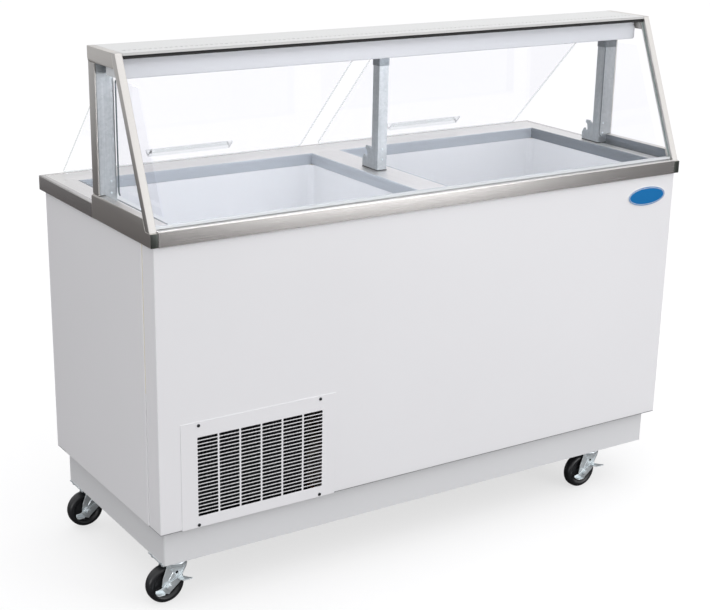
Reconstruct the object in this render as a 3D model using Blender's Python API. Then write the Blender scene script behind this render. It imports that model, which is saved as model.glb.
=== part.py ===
"""Ice cream dipping cabinet: two refrigerated wells under a glass sneeze guard, on four swivel casters.

Metres, +Z up.  +X is the cabinet's length, the customer's side faces -Y, the server's side faces +Y.
The origin is on the floor under the middle of the counter.
"""
import math
import bpy
import bmesh
from mathutils import Vector, Matrix, geometry

# ---- driving dimensions ------------------------------------------------------------------------------
LENGTH = 1.700            # over the two end frames
DEPTH = 0.6976            # counter, front edge to rear edge
HX, HY = LENGTH / 2, DEPTH / 2
FLOOR_CLEAR = 0.1275      # underside of the base, on its casters
BASE_TOP = 0.2268
COUNTER_Z0, COUNTER_TOP = 0.978, 1.018
CANOPY_TOP = 1.4115
GAP = 0.0003              # between pieces that touch

BODY_X, BODY_Y0, BODY_Y1 = 0.8417, -0.3410, 0.3325
BODY_Z0, BODY_Z1 = BASE_TOP + GAP, COUNTER_Z0 - GAP
SHEET = 0.002
SEAMS_Y = (-0.275, 0.272)  # joints of the end panels with the corner strips

BASE_X, BASE_Y0, BASE_Y1 = 0.819, -0.3160, 0.3040

WELL_X0, WELL_X1 = 0.0525, 0.775     # each well, measured from the middle of the cabinet
WELL_Y0, WELL_Y1 = -0.300, 0.235
BREAKER_T, BREAKER_H = 0.006, 0.0315
LINER_T = 0.003
TUBE_GAP = 0.012                     # space for the evaporator tube around each liner
LEFT_LINER_Z, RIGHT_LINER_Z = 0.640, 0.298
LEFT_FOAM_Z = 0.590

FRAME_T = 0.020                      # thickness of the end frames
FRAME_X0 = HX - FRAME_T
GUARD_TOP_Y, GUARD_FOOT_Y = -0.1770, -0.3425   # front line of the sloped stile, top and foot
GUARD_FOOT_Z = 1.0135
CANOPY_FRONT, CANOPY_REAR = -0.1765, -0.0135
GLASS_T = 0.005
HINGE_Y, HINGE_Z = -0.0060, 1.3790
LID_ANGLE = math.radians(-46.15)
LID_LENGTH = 0.4977
LID_X0, LID_X1 = 0.030, 0.785

VENT_X0, VENT_X1, VENT_Z0, VENT_Z1 = -0.780, -0.326, 0.2275, 0.5160
WINDOW = (-0.745, -0.355, 0.252, 0.478)
SLOT_X0, SLOT_X1, SLOT_Z0, SLOT_Z1 = -0.7335, -0.3660, 0.2600, 0.4700
SLOT_COLS, SLOT_ROWS = 6, 22

CASTERS = {"front_left": (-0.767, -0.266), "front_right": (0.648, -0.266),
           "rear_left": (-0.767, 0.254), "rear_right": (0.648, 0.254)}
WHEEL_R, WHEEL_W, TRAIL = 0.052, 0.030, 0.030

for old in list(bpy.data.objects):
    bpy.data.objects.remove(old, do_unlink=True)


# ---- shape helpers -----------------------------------------------------------------------------------
MATERIALS = {}


def material(name, rgb, metallic, roughness, alpha=1.0):
    mat = bpy.data.materials.new(name)
    mat.use_nodes = True
    shader = mat.node_tree.nodes["Principled BSDF"]
    shader.inputs["Base Color"].default_value = (*rgb, 1.0)
    shader.inputs["Metallic"].default_value = metallic
    shader.inputs["Roughness"].default_value = roughness
    shader.inputs["Alpha"].default_value = alpha
    MATERIALS[name] = mat


def finish(name, bm, mat, origin=(0.0, 0.0, 0.0), smooth=None):
    """Turn a closed bmesh into a named object whose origin is at the given point."""
    bmesh.ops.remove_doubles(bm, verts=bm.verts, dist=0.00001)
    bmesh.ops.recalc_face_normals(bm, faces=bm.faces)
    if bm.calc_volume(signed=True) < 0:
        bmesh.ops.reverse_faces(bm, faces=bm.faces)
    bmesh.ops.translate(bm, verts=bm.verts, vec=-Vector(origin))
    mesh = bpy.data.meshes.new(name)
    bm.to_mesh(mesh)
    bm.free()
    mesh.materials.append(MATERIALS[mat])
    obj = bpy.data.objects.new(name, mesh)
    obj.location = origin
    bpy.context.scene.collection.objects.link(obj)
    if smooth:
        mesh.shade_smooth()
        mesh.set_sharp_from_angle(angle=math.radians(smooth))
    return obj


def to_3d(plane, u, v, w):
    return {"xy": (u, v, w), "xz": (u, w, v), "yz": (w, u, v)}[plane]


def extrude(bm, loops, plane, a, b):
    """Extrude a flat region (outer loop, then holes) from a to b along the plane's normal."""
    rings = []
    for w in (a, b):
        rings.append([[bm.verts.new(to_3d(plane, u, v, w)) for u, v in loop] for loop in loops])
    flat = [[Vector((u, v, 0.0)) for u, v in loop] for loop in loops]
    for ring in rings:
        every = [v for loop in ring for v in loop]
        for tri in geometry.tessellate_polygon(flat):
            bm.faces.new([every[i] for i in tri])
    for low, high in zip(rings[0], rings[1]):
        for i in range(len(low)):
            j = (i + 1) % len(low)
            bm.faces.new((low[i], low[j], high[j], high[i]))
    return bm


def loft(bm, loops, closed=False):
    """Skin a list of 3-D loops with equal point counts; ends are capped unless the loft is closed."""
    rings = [[bm.verts.new(p) for p in loop] for loop in loops]
    count = len(rings[0])
    pairs = list(zip(rings, rings[1:])) + ([(rings[-1], rings[0])] if closed else [])
    for low, high in pairs:
        for i in range(count):
            j = (i + 1) % count
            bm.faces.new((low[i], low[j], high[j], high[i]))
    if not closed:
        bm.faces.new(rings[0])
        bm.faces.new(list(reversed(rings[-1])))
    return bm


def box(bm, x0, x1, y0, y1, z0, z1):
    return extrude(bm, [[(x0, y0), (x1, y0), (x1, y1), (x0, y1)]], "xy", z0, z1)


def rounded(x0, x1, y0, y1, r, steps=4):
    """Rounded rectangle as a loop of 2-D points."""
    pts = []
    for cx, cy, start in ((x1 - r, y1 - r, 0), (x0 + r, y1 - r, 90), (x0 + r, y0 + r, 180), (x1 - r, y0 + r, 270)):
        for i in range(steps + 1):
            a = math.radians(start + 90.0 * i / steps)
            pts.append((cx + r * math.cos(a), cy + r * math.sin(a)))
    return pts


def circle(cx, cy, r, steps):
    return [(cx + r * math.cos(2 * math.pi * i / steps), cy + r * math.sin(2 * math.pi * i / steps))
            for i in range(steps)]


def lathe(bm, profile, axis, centre, steps=28):
    """Revolve (radius, height) points about an axis through centre; a closed profile makes a ring."""
    frame = {"x": ((0, 1, 0), (0, 0, 1), (1, 0, 0)), "y": ((1, 0, 0), (0, 0, 1), (0, 1, 0)),
             "z": ((1, 0, 0), (0, 1, 0), (0, 0, 1))}[axis]
    u, v, w = (Vector(f) for f in frame)
    c = Vector(centre)
    solid = profile[0][0] == 0 and profile[-1][0] == 0
    rings = []
    for r, h in profile:
        if r == 0:
            rings.append([bm.verts.new(c + w * h)])
        else:
            rings.append([bm.verts.new(c + w * h + u * (r * math.cos(2 * math.pi * i / steps))
                                       + v * (r * math.sin(2 * math.pi * i / steps))) for i in range(steps)])
    pairs = list(zip(rings, rings[1:])) + ([] if solid else [(rings[-1], rings[0])])
    for low, high in pairs:
        for i in range(steps):
            j = (i + 1) % steps
            if len(low) == 1:
                bm.faces.new((low[0], high[j], high[i]))
            elif len(high) == 1:
                bm.faces.new((low[i], low[j], high[0]))
            else:
                bm.faces.new((low[i], low[j], high[j], high[i]))
    return bm


def tube(bm, path, radius, steps=6):
    """Round bar swept along a path; radius is a number or one value per point."""
    pts = [Vector(p) for p in path]
    radii = radius if isinstance(radius, (list, tuple)) else [radius] * len(pts)
    loops, side = [], None
    for i, p in enumerate(pts):
        before = (p - pts[i - 1]).normalized() if i else (pts[1] - p).normalized()
        after = (pts[i + 1] - p).normalized() if i + 1 < len(pts) else before
        t = (before + after).normalized()
        if side is None:
            side = t.orthogonal().normalized()
        side = (side - t * side.dot(t)).normalized()
        other = t.cross(side)
        stretch = 1.0 / max(0.5, before.dot(t))
        loops.append([p + (side * math.cos(2 * math.pi * k / steps) + other * math.sin(2 * math.pi * k / steps))
                      * radii[i] * stretch for k in range(steps)])
    return loft(bm, loops)


def combine(target, tools, operation):
    """Apply a Boolean with each tool in turn and remove the tool."""
    for tool in tools:
        tool.hide_render = True
        tool.display_type = "WIRE"
        mod = target.modifiers.new("bool", "BOOLEAN")
        mod.operation, mod.solver, mod.object = operation, "EXACT", tool
        graph = bpy.context.evaluated_depsgraph_get()
        done = bpy.data.meshes.new_from_object(target.evaluated_get(graph))
        target.modifiers.clear()
        before = target.data
        target.data = done
        bpy.data.meshes.remove(before)
        bpy.data.objects.remove(tool, do_unlink=True)
    return target


def mirror_x(points):
    return [(-x, y) for x, y in points]


material("white_paint", (0.86, 0.87, 0.89), 0.0, 0.38)
material("light_grey_paint", (0.74, 0.75, 0.77), 0.0, 0.42)
material("brushed_stainless", (0.55, 0.54, 0.52), 1.0, 0.32)
material("galvanised_steel", (0.62, 0.65, 0.67), 1.0, 0.42)
material("zinc_plate", (0.70, 0.74, 0.77), 1.0, 0.30)
material("liner_white", (0.80, 0.86, 0.90), 0.0, 0.35)
material("breaker_grey", (0.42, 0.47, 0.52), 0.0, 0.45)
material("foam", (0.85, 0.80, 0.62), 0.0, 0.90)
material("copper_tube", (0.72, 0.40, 0.25), 1.0, 0.35)
material("clear_glass", (0.92, 0.97, 0.96), 0.0, 0.03, 0.25)
material("clear_acrylic", (0.95, 0.97, 0.98), 0.0, 0.08, 0.25)
material("black_rubber", (0.02, 0.02, 0.022), 0.0, 0.70)
material("black_wheel", (0.025, 0.025, 0.028), 0.0, 0.45)
material("lamp_diffuser", (0.93, 0.94, 0.95), 0.0, 0.40)
material("badge_blue", (0.02, 0.18, 0.42), 0.0, 0.35)
material("black_enamel", (0.03, 0.03, 0.035), 0.0, 0.40)
material("fan_plastic", (0.10, 0.10, 0.11), 0.0, 0.50)
material("fin_aluminium", (0.70, 0.71, 0.72), 1.0, 0.45)

# ---- base: a folded tray that carries the cabinet on its casters --------------------------------------
bm = bmesh.new()
levels = [(0.0, FLOOR_CLEAR), (0.0, BASE_TOP), (SHEET, BASE_TOP), (SHEET, FLOOR_CLEAR + 0.0025)]
loft(bm, [[(x, y, z) for x, y in rounded(-BASE_X + o, BASE_X - o, BASE_Y0 + o, BASE_Y1 - o, 0.006 - o, 2)]
          for o, z in levels])
finish("base_tray", bm, "light_grey_paint")

# ---- cabinet shell: folded sheet with an inward foot flange and the end-panel seams ---------------------
def shell_loop(offset, z, groove):
    """Outline of the shell at one level, walking round the four sides with the seam grooves on the ends."""
    x, y0, y1 = BODY_X - offset, BODY_Y0 + offset, BODY_Y1 - offset
    pts = [(-x, y0, z), (x, y0, z)]
    for y in SEAMS_Y:
        pts += [(x, y - 0.0010, z), (x - groove, y - 0.0006, z), (x - groove, y + 0.0006, z), (x, y + 0.0010, z)]
    pts += [(x, y1, z), (-x, y1, z)]
    for y in reversed(SEAMS_Y):
        pts += [(-x, y + 0.0010, z), (-x + groove, y + 0.0006, z), (-x + groove, y - 0.0006, z), (-x, y - 0.0010, z)]
    return pts


bm = bmesh.new()
loft(bm, [shell_loop(0.033, BODY_Z0, 0), shell_loop(0, BODY_Z0, 0.0012), shell_loop(0, BODY_Z1, 0.0012),
          shell_loop(SHEET, BODY_Z1, 0), shell_loop(SHEET, BODY_Z0 + SHEET, 0),
          shell_loop(0.033, BODY_Z0 + SHEET, 0)], closed=True)
shell = finish("cabinet_shell", bm, "white_paint")
windows = []
for y0, y1 in ((BODY_Y0 - 0.01, BODY_Y0 + 0.01), (BODY_Y1 - 0.01, BODY_Y1 + 0.01)):
    windows.append(finish("window_cutter", box(bmesh.new(), WINDOW[0], WINDOW[1], y0, y1, WINDOW[2], WINDOW[3]),
                          "white_paint"))
combine(shell, windows, "DIFFERENCE")

# ---- vent panel: a flat cover with rows of punched slots -------------------------------------------------
def slotted_panel(name, x_edges, z_edges, y0, y1, mat):
    """Plate on a grid of edges; every second cell, counted inwards from the second edge, is punched out."""
    bm = bmesh.new()
    nx, nz = len(x_edges), len(z_edges)
    grid = [[[bm.verts.new((x, y, z)) for z in z_edges] for x in x_edges] for y in (y0, y1)]

    def solid(i, k):
        return 0 <= i < nx - 1 and 0 <= k < nz - 1 and not (i % 2 and k % 2)

    for i in range(nx - 1):
        for k in range(nz - 1):
            if not solid(i, k):
                continue
            for s in (0, 1):
                g = grid[s]
                quad = [g[i][k], g[i + 1][k], g[i + 1][k + 1], g[i][k + 1]]
                bm.faces.new(quad if s == 0 else quad[::-1])
            f, b = grid
            for di, dk, p, q in ((-1, 0, (i, k + 1), (i, k)), (1, 0, (i + 1, k), (i + 1, k + 1)),
                                 (0, -1, (i, k), (i + 1, k)), (0, 1, (i + 1, k + 1), (i, k + 1))):
                if not solid(i + di, k + dk):
                    bm.faces.new((f[q[0]][q[1]], f[p[0]][p[1]], b[p[0]][p[1]], b[q[0]][q[1]]))
    for v in [v for v in bm.verts if not v.link_faces]:
        bm.verts.remove(v)
    return finish(name, bm, mat)


def slot_edges(low, high, first, last, count, bar):
    """Edges of a plate from low to high with evenly spaced slots between first and last."""
    pitch = (last - first + bar) / count
    edges = [low]
    for i in range(count):
        edges += [first + i * pitch, first + i * pitch + pitch - bar]
    return edges + [high]


slotted_panel("vent_panel", slot_edges(VENT_X0, VENT_X1, SLOT_X0, SLOT_X1, SLOT_COLS, 0.0055),
              slot_edges(VENT_Z0, VENT_Z1, SLOT_Z0, SLOT_Z1, SLOT_ROWS, 0.0042),
              BODY_Y0 - GAP - 0.002, BODY_Y0 - GAP, "white_paint")
slotted_panel("rear_vent_panel", slot_edges(VENT_X0, VENT_X1, SLOT_X0, SLOT_X1, 3, 0.012),
              slot_edges(VENT_Z0, VENT_Z1, SLOT_Z0, SLOT_Z1, 10, 0.012),
              BODY_Y1 + GAP, BODY_Y1 + GAP + 0.002, "white_paint")

# ---- blank oval badge on the front panel -----------------------------------------------------------------
bm = bmesh.new()
oval = [(0.7355 + 0.071 * math.cos(2 * math.pi * i / 40), 0.920 + 0.028 * math.sin(2 * math.pi * i / 40))
        for i in range(40)]
extrude(bm, [oval], "xz", BODY_Y0 - GAP - 0.0025, BODY_Y0 - GAP)
finish("badge", bm, "badge_blue", smooth=40)

# ---- insulation, tanks and the evaporator tube wrapped round each tank ------------------------------------
def well_box(side, grow):
    """Plan of one well (side -1 is left), grown outwards."""
    x = sorted((side * (WELL_X0 - grow), side * (WELL_X1 + grow)))
    return x[0], x[1], WELL_Y0 - grow, WELL_Y1 + grow


def tank(name, outer, inner, z0, floor, z1, r_out, r_in, mat):
    """Open-topped box: outer skin, rim, inner skin and floor."""
    bm = bmesh.new()
    loft(bm, [[(x, y, z0) for x, y in rounded(*outer, r_out)], [(x, y, z1) for x, y in rounded(*outer, r_out)],
              [(x, y, z1) for x, y in rounded(*inner, r_in)], [(x, y, floor) for x, y in rounded(*inner, r_in)]])
    return finish(name, bm, mat, smooth=40 if r_in > 0.01 else None)


FOAM_X, FOAM_Y0, FOAM_Y1 = BODY_X - SHEET - GAP, BODY_Y0 + SHEET + GAP, BODY_Y1 - SHEET - GAP
for side, label, liner_z, foam_z in ((-1, "left", LEFT_LINER_Z, LEFT_FOAM_Z),
                                     (1, "right", RIGHT_LINER_Z, BODY_Z0 + SHEET + GAP)):
    xs = sorted((side * GAP, side * FOAM_X))
    cavity = well_box(side, LINER_T + TUBE_GAP)
    foam = tank("foam_" + label, (xs[0], xs[1], FOAM_Y0, FOAM_Y1), cavity, foam_z, liner_z - GAP,
                COUNTER_Z0 - 2 * GAP, 0.0012, 0.030, "foam")
    liner = tank("liner_" + label, well_box(side, LINER_T), well_box(side, 0.0), liner_z, liner_z + LINER_T,
                 COUNTER_TOP - BREAKER_H - 2 * GAP, 0.020 + LINER_T, 0.020, "liner_white")
    # helical tube between tank and foam
    turns = 3 if side < 0 else 4
    low, high = liner_z + 0.05, COUNTER_Z0 - 0.05
    plan = rounded(*well_box(side, LINER_T + TUBE_GAP / 2), 0.028, 3)
    path = []
    for turn in range(turns):
        for i, (x, y) in enumerate(plan):
            path.append((x, y, low + (high - low) * (turn + i / len(plan)) / turns))
    finish("evaporator_" + label, tube(bmesh.new(), path, 0.0050), "copper_tube", smooth=60)
    # grey collar on the edge of the opening
    bm = bmesh.new()
    grown, inner = well_box(side, BREAKER_T), well_box(side, 0.0)
    extrude(bm, [[(grown[0], grown[2]), (grown[1], grown[2]), (grown[1], grown[3]), (grown[0], grown[3])],
                 [(inner[0], inner[2]), (inner[1], inner[2]), (inner[1], inner[3]), (inner[0], inner[3])]],
            "xy", COUNTER_TOP - GAP - BREAKER_H, COUNTER_TOP - GAP)
    finish("breaker_" + label, bm, "breaker_grey")

# defrost drain: a plugged pipe from the deep well's floor down through the foam and the base
DRAIN = (0.690, 0.170)
for label, z0, z1, r in (("foam_right", 0.20, 0.29790, 0.0150), ("liner_right", 0.29, 0.31, 0.0090),
                         ("base_tray", 0.12, 0.14, 0.0150)):
    target = bpy.data.objects[label]
    tool = finish("drain_cutter", lathe(bmesh.new(), [(0, z0), (r, z0), (r, z1), (0, z1)], "z",
                                        (*DRAIN, 0), 20), "foam")
    combine(target, [tool], "DIFFERENCE")
drain = [(0, 0.1150), (0.0170, 0.1150), (0.0170, 0.1260), (0.0145, 0.1272), (0.0145, 0.2976), (0.0087, 0.2976),
         (0.0087, 0.3018), (0, 0.3018)]
finish("drain_pipe", lathe(bmesh.new(), drain, "z", (*DRAIN, 0), 20), "black_enamel", smooth=40)

# ---- counter: a pale rim with the two well openings, edged by a stainless band ------------------------------
plate_rear = -0.0070
BAND_T = 0.0015


def counter_outline(inset):
    """Counter plan: the front part is narrower, to fit between the end frames."""
    x_in, x_out, step = FRAME_X0 - GAP - inset, HX - inset, plate_rear + GAP + inset
    y0, y1 = -HY + inset, HY - inset
    return [(-x_in, y0), (x_in, y0), (x_in, step), (x_out, step), (x_out, y1), (-x_out, y1), (-x_out, step),
            (-x_in, step)]


bm = bmesh.new()
extrude(bm, [counter_outline(0.0), counter_outline(BAND_T)], "xy", COUNTER_Z0, COUNTER_TOP)
finish("counter_band", bm, "brushed_stainless")
bm = bmesh.new()
holes = []
for side in (-1, 1):
    g = well_box(side, BREAKER_T + GAP)
    holes.append([(g[0], g[2]), (g[1], g[2]), (g[1], g[3]), (g[0], g[3])])
extrude(bm, [counter_outline(BAND_T + GAP)] + holes, "xy", COUNTER_Z0, COUNTER_TOP)
finish("counter_top", bm, "light_grey_paint")

# ---- sneeze guard: two end frames, canopy, posts and panes -------------------------------------------------
SLOPE = (GUARD_TOP_Y - GUARD_FOOT_Y) / (CANOPY_TOP - GUARD_FOOT_Z)


def stile_y(z):
    """Front line of the sloped stile at height z."""
    return GUARD_TOP_Y - (CANOPY_TOP - z) * SLOPE


frame_outer = [(-HY, COUNTER_Z0 + GAP), (plate_rear, COUNTER_Z0 + GAP), (plate_rear, 1.0360), (-0.0180, 1.0460),
               (-0.0180, 1.3720), (CANOPY_REAR, 1.3830), (CANOPY_REAR, CANOPY_TOP), (GUARD_TOP_Y, CANOPY_TOP),
               (GUARD_FOOT_Y, GUARD_FOOT_Z), (-HY, GUARD_FOOT_Z)]
frame_inner = [(-0.0430, 1.0435), (-0.0430, 1.3740), (stile_y(1.3740) + 0.0235, 1.3740),
               (stile_y(1.0435) + 0.0235, 1.0435)]
for side, label in ((-1, "left"), (1, "right")):
    bm = bmesh.new()
    extrude(bm, [frame_outer, frame_inner], "yz", side * FRAME_X0, side * HX)
    finish("end_frame_" + label, bm, "brushed_stainless")

bm = bmesh.new()
inner_x = FRAME_X0 - GAP
extrude(bm, [[(CANOPY_FRONT, CANOPY_TOP), (CANOPY_FRONT, 1.4045), (-0.1560, 1.4045), (-0.1560, 1.4085),
              (CANOPY_REAR - SHEET, 1.4085), (CANOPY_REAR - SHEET, 1.3720), (CANOPY_REAR, 1.3720),
              (CANOPY_REAR, CANOPY_TOP)]], "yz", -inner_x, inner_x)
canopy = finish("canopy", bm, "light_grey_paint")
ears = [box(bmesh.new(), x0, x1, CANOPY_REAR - 0.0010, 0.0020, 1.3705, 1.3880)
        for x0, x1 in ((-0.800, -0.790), (-0.016, 0.016), (0.790, 0.800))]
combine(canopy, [finish("ear", e, "light_grey_paint") for e in ears], "UNION")
rod_hole = lathe(bmesh.new(), [(0, -0.81), (0.00315, -0.81), (0.00315, 0.81), (0, 0.81)], "x",
                 (0, HINGE_Y, HINGE_Z), 20)
combine(canopy, [finish("rod_cutter", rod_hole, "light_grey_paint")], "DIFFERENCE")


def glass_y(z):
    """Outer face of the front pane at height z."""
    return stile_y(z) + 0.0100


PANE_RUN = GLASS_T * math.sqrt(1 + SLOPE ** 2)     # the pane's thickness measured level
PANE_Z0, PANE_Z1 = 1.0216, 1.3985
bm = bmesh.new()
extrude(bm, [[(glass_y(PANE_Z0), PANE_Z0), (glass_y(PANE_Z0) + PANE_RUN, PANE_Z0),
              (glass_y(PANE_Z1) + PANE_RUN, PANE_Z1), (glass_y(PANE_Z1), PANE_Z1)]], "yz", -0.8290, 0.8290)
finish("front_glass", bm, "clear_glass")


def pane_grip(z_floor, z_seat, z_lip, wall):
    """U-section that follows the slope of the pane, closed at z_floor and open at z_lip."""
    def at(z, offset):
        return glass_y(z) + offset
    return [(at(z_floor, -wall), z_floor), (at(z_floor, PANE_RUN + wall), z_floor),
            (at(z_lip, PANE_RUN + wall), z_lip), (at(z_lip, PANE_RUN + GAP), z_lip),
            (at(z_seat, PANE_RUN + GAP), z_seat), (at(z_seat, -GAP), z_seat),
            (at(z_lip, -GAP), z_lip), (at(z_lip, -wall), z_lip)]


bm = bmesh.new()
extrude(bm, [pane_grip(COUNTER_TOP + GAP, PANE_Z0 - GAP, 1.0330, 0.0028)], "yz", -0.8290, 0.8290)
finish("glass_channel", bm, "light_grey_paint")
bm = bmesh.new()
extrude(bm, [pane_grip(1.4042, PANE_Z1 + GAP, 1.3955, 0.0024)], "yz", -0.8290, 0.8290)
finish("glass_gasket", bm, "black_rubber")

# posts: folded channels with a hook plate at the foot
POST_Y0, POST_Y1, POST_T = -0.0530, -0.0225, 0.0025
for label, x0, x1 in (("left", -0.8297, -0.7997), ("centre", -0.0150, 0.0150), ("right", 0.7997, 0.8297)):
    bm = bmesh.new()
    extrude(bm, [[(x0, POST_Y0), (x1, POST_Y0), (x1, POST_Y1), (x1 - POST_T, POST_Y1),
                  (x1 - POST_T, POST_Y0 + POST_T), (x0 + POST_T, POST_Y0 + POST_T), (x0 + POST_T, POST_Y1),
                  (x0, POST_Y1)]], "xy", COUNTER_TOP + GAP, 1.4085 - GAP)
    post = finish("post_" + label, bm, "galvanised_steel")
    z = COUNTER_TOP + GAP
    hook = [(POST_Y1 - 0.020, z), (0.0240, z), (0.0240, z + 0.022), (0.0160, z + 0.036), (0.0120, z + 0.036),
            (0.0090, z + 0.030), (0.0020, z + 0.030), (0.0000, z + 0.036), (0.0030, z + 0.050),
            (0.0100, z + 0.054), (0.0080, z + 0.062), (-0.0080, z + 0.062), (-0.0160, z + 0.056),
            (POST_Y1 - 0.020, z + 0.056)]
    foot = [(POST_Y1 - 0.020, z), (0.0200, z), (0.0200, z + 0.006), (POST_Y1 - 0.020, z + 0.006)]
    plates = [extrude(bmesh.new(), [hook], "yz", x0 + 0.0010, x0 + 0.0050),
              extrude(bmesh.new(), [foot], "yz", x0 + 0.0010, x1 - 0.0010)]
    combine(post, [finish("hook", p, "galvanised_steel") for p in plates], "UNION")

# end panes, bolted to the inner face of the end posts
for side, label in ((-1, "left"), (1, "right")):
    xs = sorted((side * (0.7997 - GAP), side * (0.7997 - GAP - 0.0045)))
    z0, z1, back = 1.0400, 1.3310, -0.0390
    front = 0.0100 + PANE_RUN + 0.0045
    shape = [(back - 0.012, z0), (back, z0 + 0.012), (back, z1), (stile_y(z1) + front, z1),
             (stile_y(z0) + front, z0)]
    bm = bmesh.new()
    extrude(bm, [shape], "yz", *xs)
    finish("end_glass_" + label, bm, "clear_glass")

# ---- light: trough under the canopy with a tube lamp -------------------------------------------------------
bm = bmesh.new()
outer, inner = (-0.8285, 0.8285, -0.150, -0.066), (-0.8265, 0.8265, -0.148, -0.068)
top = 1.4085 - GAP
loft(bm, [[(x, y, top) for x, y in rounded(*outer, 0.004, 2)], [(x, y, 1.345) for x, y in rounded(*outer, 0.004, 2)],
          [(x, y, 1.345) for x, y in rounded(*inner, 0.002, 2)],
          [(x, y, top - 0.002) for x, y in rounded(*inner, 0.002, 2)]])
finish("light_housing", bm, "light_grey_paint")
bm = bmesh.new()
lathe(bm, [(0, -0.8095), (0.015, -0.8095), (0.015, -0.780), (0.013, -0.778), (0.013, 0.778), (0.015, 0.780),
           (0.015, 0.8095), (0, 0.8095)], "x", (0, -0.108, 1.376), 20)
finish("lamp_tube", bm, "lamp_diffuser", smooth=40)

# ---- rear lids on their hinge rods --------------------------------------------------------------------------
def lid_point(along, out):
    """Point in the lid's own plane: distance from the hinge and height above the middle of the sheet."""
    return (HINGE_Y + along * math.cos(LID_ANGLE) - out * math.sin(LID_ANGLE),
            HINGE_Z + along * math.sin(LID_ANGLE) + out * math.cos(LID_ANGLE))


KNUCKLE_R, HALF = 0.0062, 0.0025
edge = math.asin(HALF / KNUCKLE_R)
knuckle = []
for i in range(15):
    a = edge + (2 * math.pi - 2 * edge) * i / 14
    knuckle.append(lid_point(KNUCKLE_R * math.cos(a), KNUCKLE_R * math.sin(a)))
lid_shape = knuckle + [lid_point(LID_LENGTH, -HALF), lid_point(LID_LENGTH, HALF)]
pull = [lid_point(0.440, HALF + GAP), lid_point(0.472, HALF + GAP), lid_point(0.470, 0.024),
        lid_point(0.466, 0.024), lid_point(0.465, 0.0065), lid_point(0.440, 0.0065)]
for side, label in ((-1, "left"), (1, "right")):
    hinge = (side * (LID_X0 + LID_X1) / 2, HINGE_Y, HINGE_Z)
    bm = bmesh.new()
    lathe(bm, [(0, 0.003), (0.0030, 0.003), (0.0030, 0.806), (0, 0.806)] if side > 0 else
          [(0, -0.806), (0.0030, -0.806), (0.0030, -0.003), (0, -0.003)], "x", (0, HINGE_Y, HINGE_Z), 20)
    finish("hinge_rod_" + label, bm, "zinc_plate", smooth=40)
    bm = bmesh.new()
    extrude(bm, [lid_shape, circle(HINGE_Y, HINGE_Z, 0.0033, 20)], "yz", side * LID_X0, side * LID_X1)
    finish("lid_" + label, bm, "clear_acrylic", origin=hinge)
    bm = bmesh.new()
    mid = side * (LID_X0 + LID_X1) / 2
    extrude(bm, [pull], "yz", mid - 0.13, mid + 0.13)
    finish("lid_handle_" + label, bm, "clear_acrylic", origin=hinge)

# ---- condensing unit behind the vent --------------------------------------------------------------------------
DECK = FLOOR_CLEAR + 0.0025 + GAP
FAN_X, FAN_Z = -0.555, 0.300
bm = bmesh.new()
teeth = 34
pitch = 0.350 / teeth
comb = [(-0.730, -0.2560), (-0.730, -0.3000)]
for i in range(teeth):
    x = -0.730 + i * pitch
    comb += [(x + pitch * 0.45, -0.3000), (x + pitch * 0.45, -0.2700)] + (
        [(x + pitch, -0.2700), (x + pitch, -0.3000)] if i < teeth - 1 else [])
comb += [(-0.380, -0.2700), (-0.380, -0.2560)]
extrude(bm, [comb], "xy", DECK, 0.465)
finish("condenser_coil", bm, "fin_aluminium")

bm = bmesh.new()
extrude(bm, [[(-0.730, DECK), (-0.380, DECK), (-0.380, 0.465), (-0.730, 0.465)], circle(FAN_X, FAN_Z, 0.125, 36)],
        "xz", -0.2557, -0.2250)
finish("fan_shroud", bm, "black_enamel", smooth=40)

motor_y0, motor_y1 = -0.1950, -0.1250
motor = finish("fan_motor", lathe(bmesh.new(), [(0, -0.2177), (0.0040, -0.2177), (0.0040, motor_y0), (0.0320, motor_y0),
                                                (0.0360, motor_y0 + 0.006), (0.0360, motor_y1 - 0.010),
                                                (0.0260, motor_y1), (0, motor_y1)], "y", (FAN_X, 0, FAN_Z), 24),
               "black_enamel", smooth=40)
leg = box(bmesh.new(), FAN_X - 0.020, FAN_X + 0.020, -0.1750, -0.1450, DECK + 0.002, FAN_Z - 0.020)
foot = box(bmesh.new(), FAN_X - 0.060, FAN_X + 0.060, -0.1850, -0.1350, DECK, DECK + 0.004)
combine(motor, [finish("leg", leg, "black_enamel"), finish("foot", foot, "black_enamel")], "UNION")

hub_y0, hub_y1 = -0.2490, -0.2180
blade = finish("fan_blade", lathe(bmesh.new(), [(0, hub_y0), (0.0200, hub_y0), (0.0240, hub_y0 + 0.004), (0.0240, hub_y1),
                                                (0, hub_y1)], "y", (FAN_X, 0, FAN_Z), 24),
               "fan_plastic", origin=(FAN_X, -0.2335, FAN_Z), smooth=40)
vanes = []
for k in range(4):
    turn = math.pi / 2 * k
    loops = []
    for r, half, twist in ((0.018, 0.013, 0.85), (0.060, 0.030, 0.50), (0.110, 0.036, 0.32)):
        loop = []
        for s, h in ((-1, -1), (1, -1), (1, 1), (-1, 1)):
            along, lift = s * half, s * half * math.tan(twist) * 0.40 + h * 0.0010
            angle = turn + math.atan2(along, r)
            reach = math.hypot(along, r)
            loop.append((FAN_X + reach * math.cos(angle), -0.2335 + lift, FAN_Z + reach * math.sin(angle)))
        loops.append(loop)
    vanes.append(finish("vane", loft(bmesh.new(), loops), "fan_plastic"))
combine(blade, vanes, "UNION")

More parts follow.
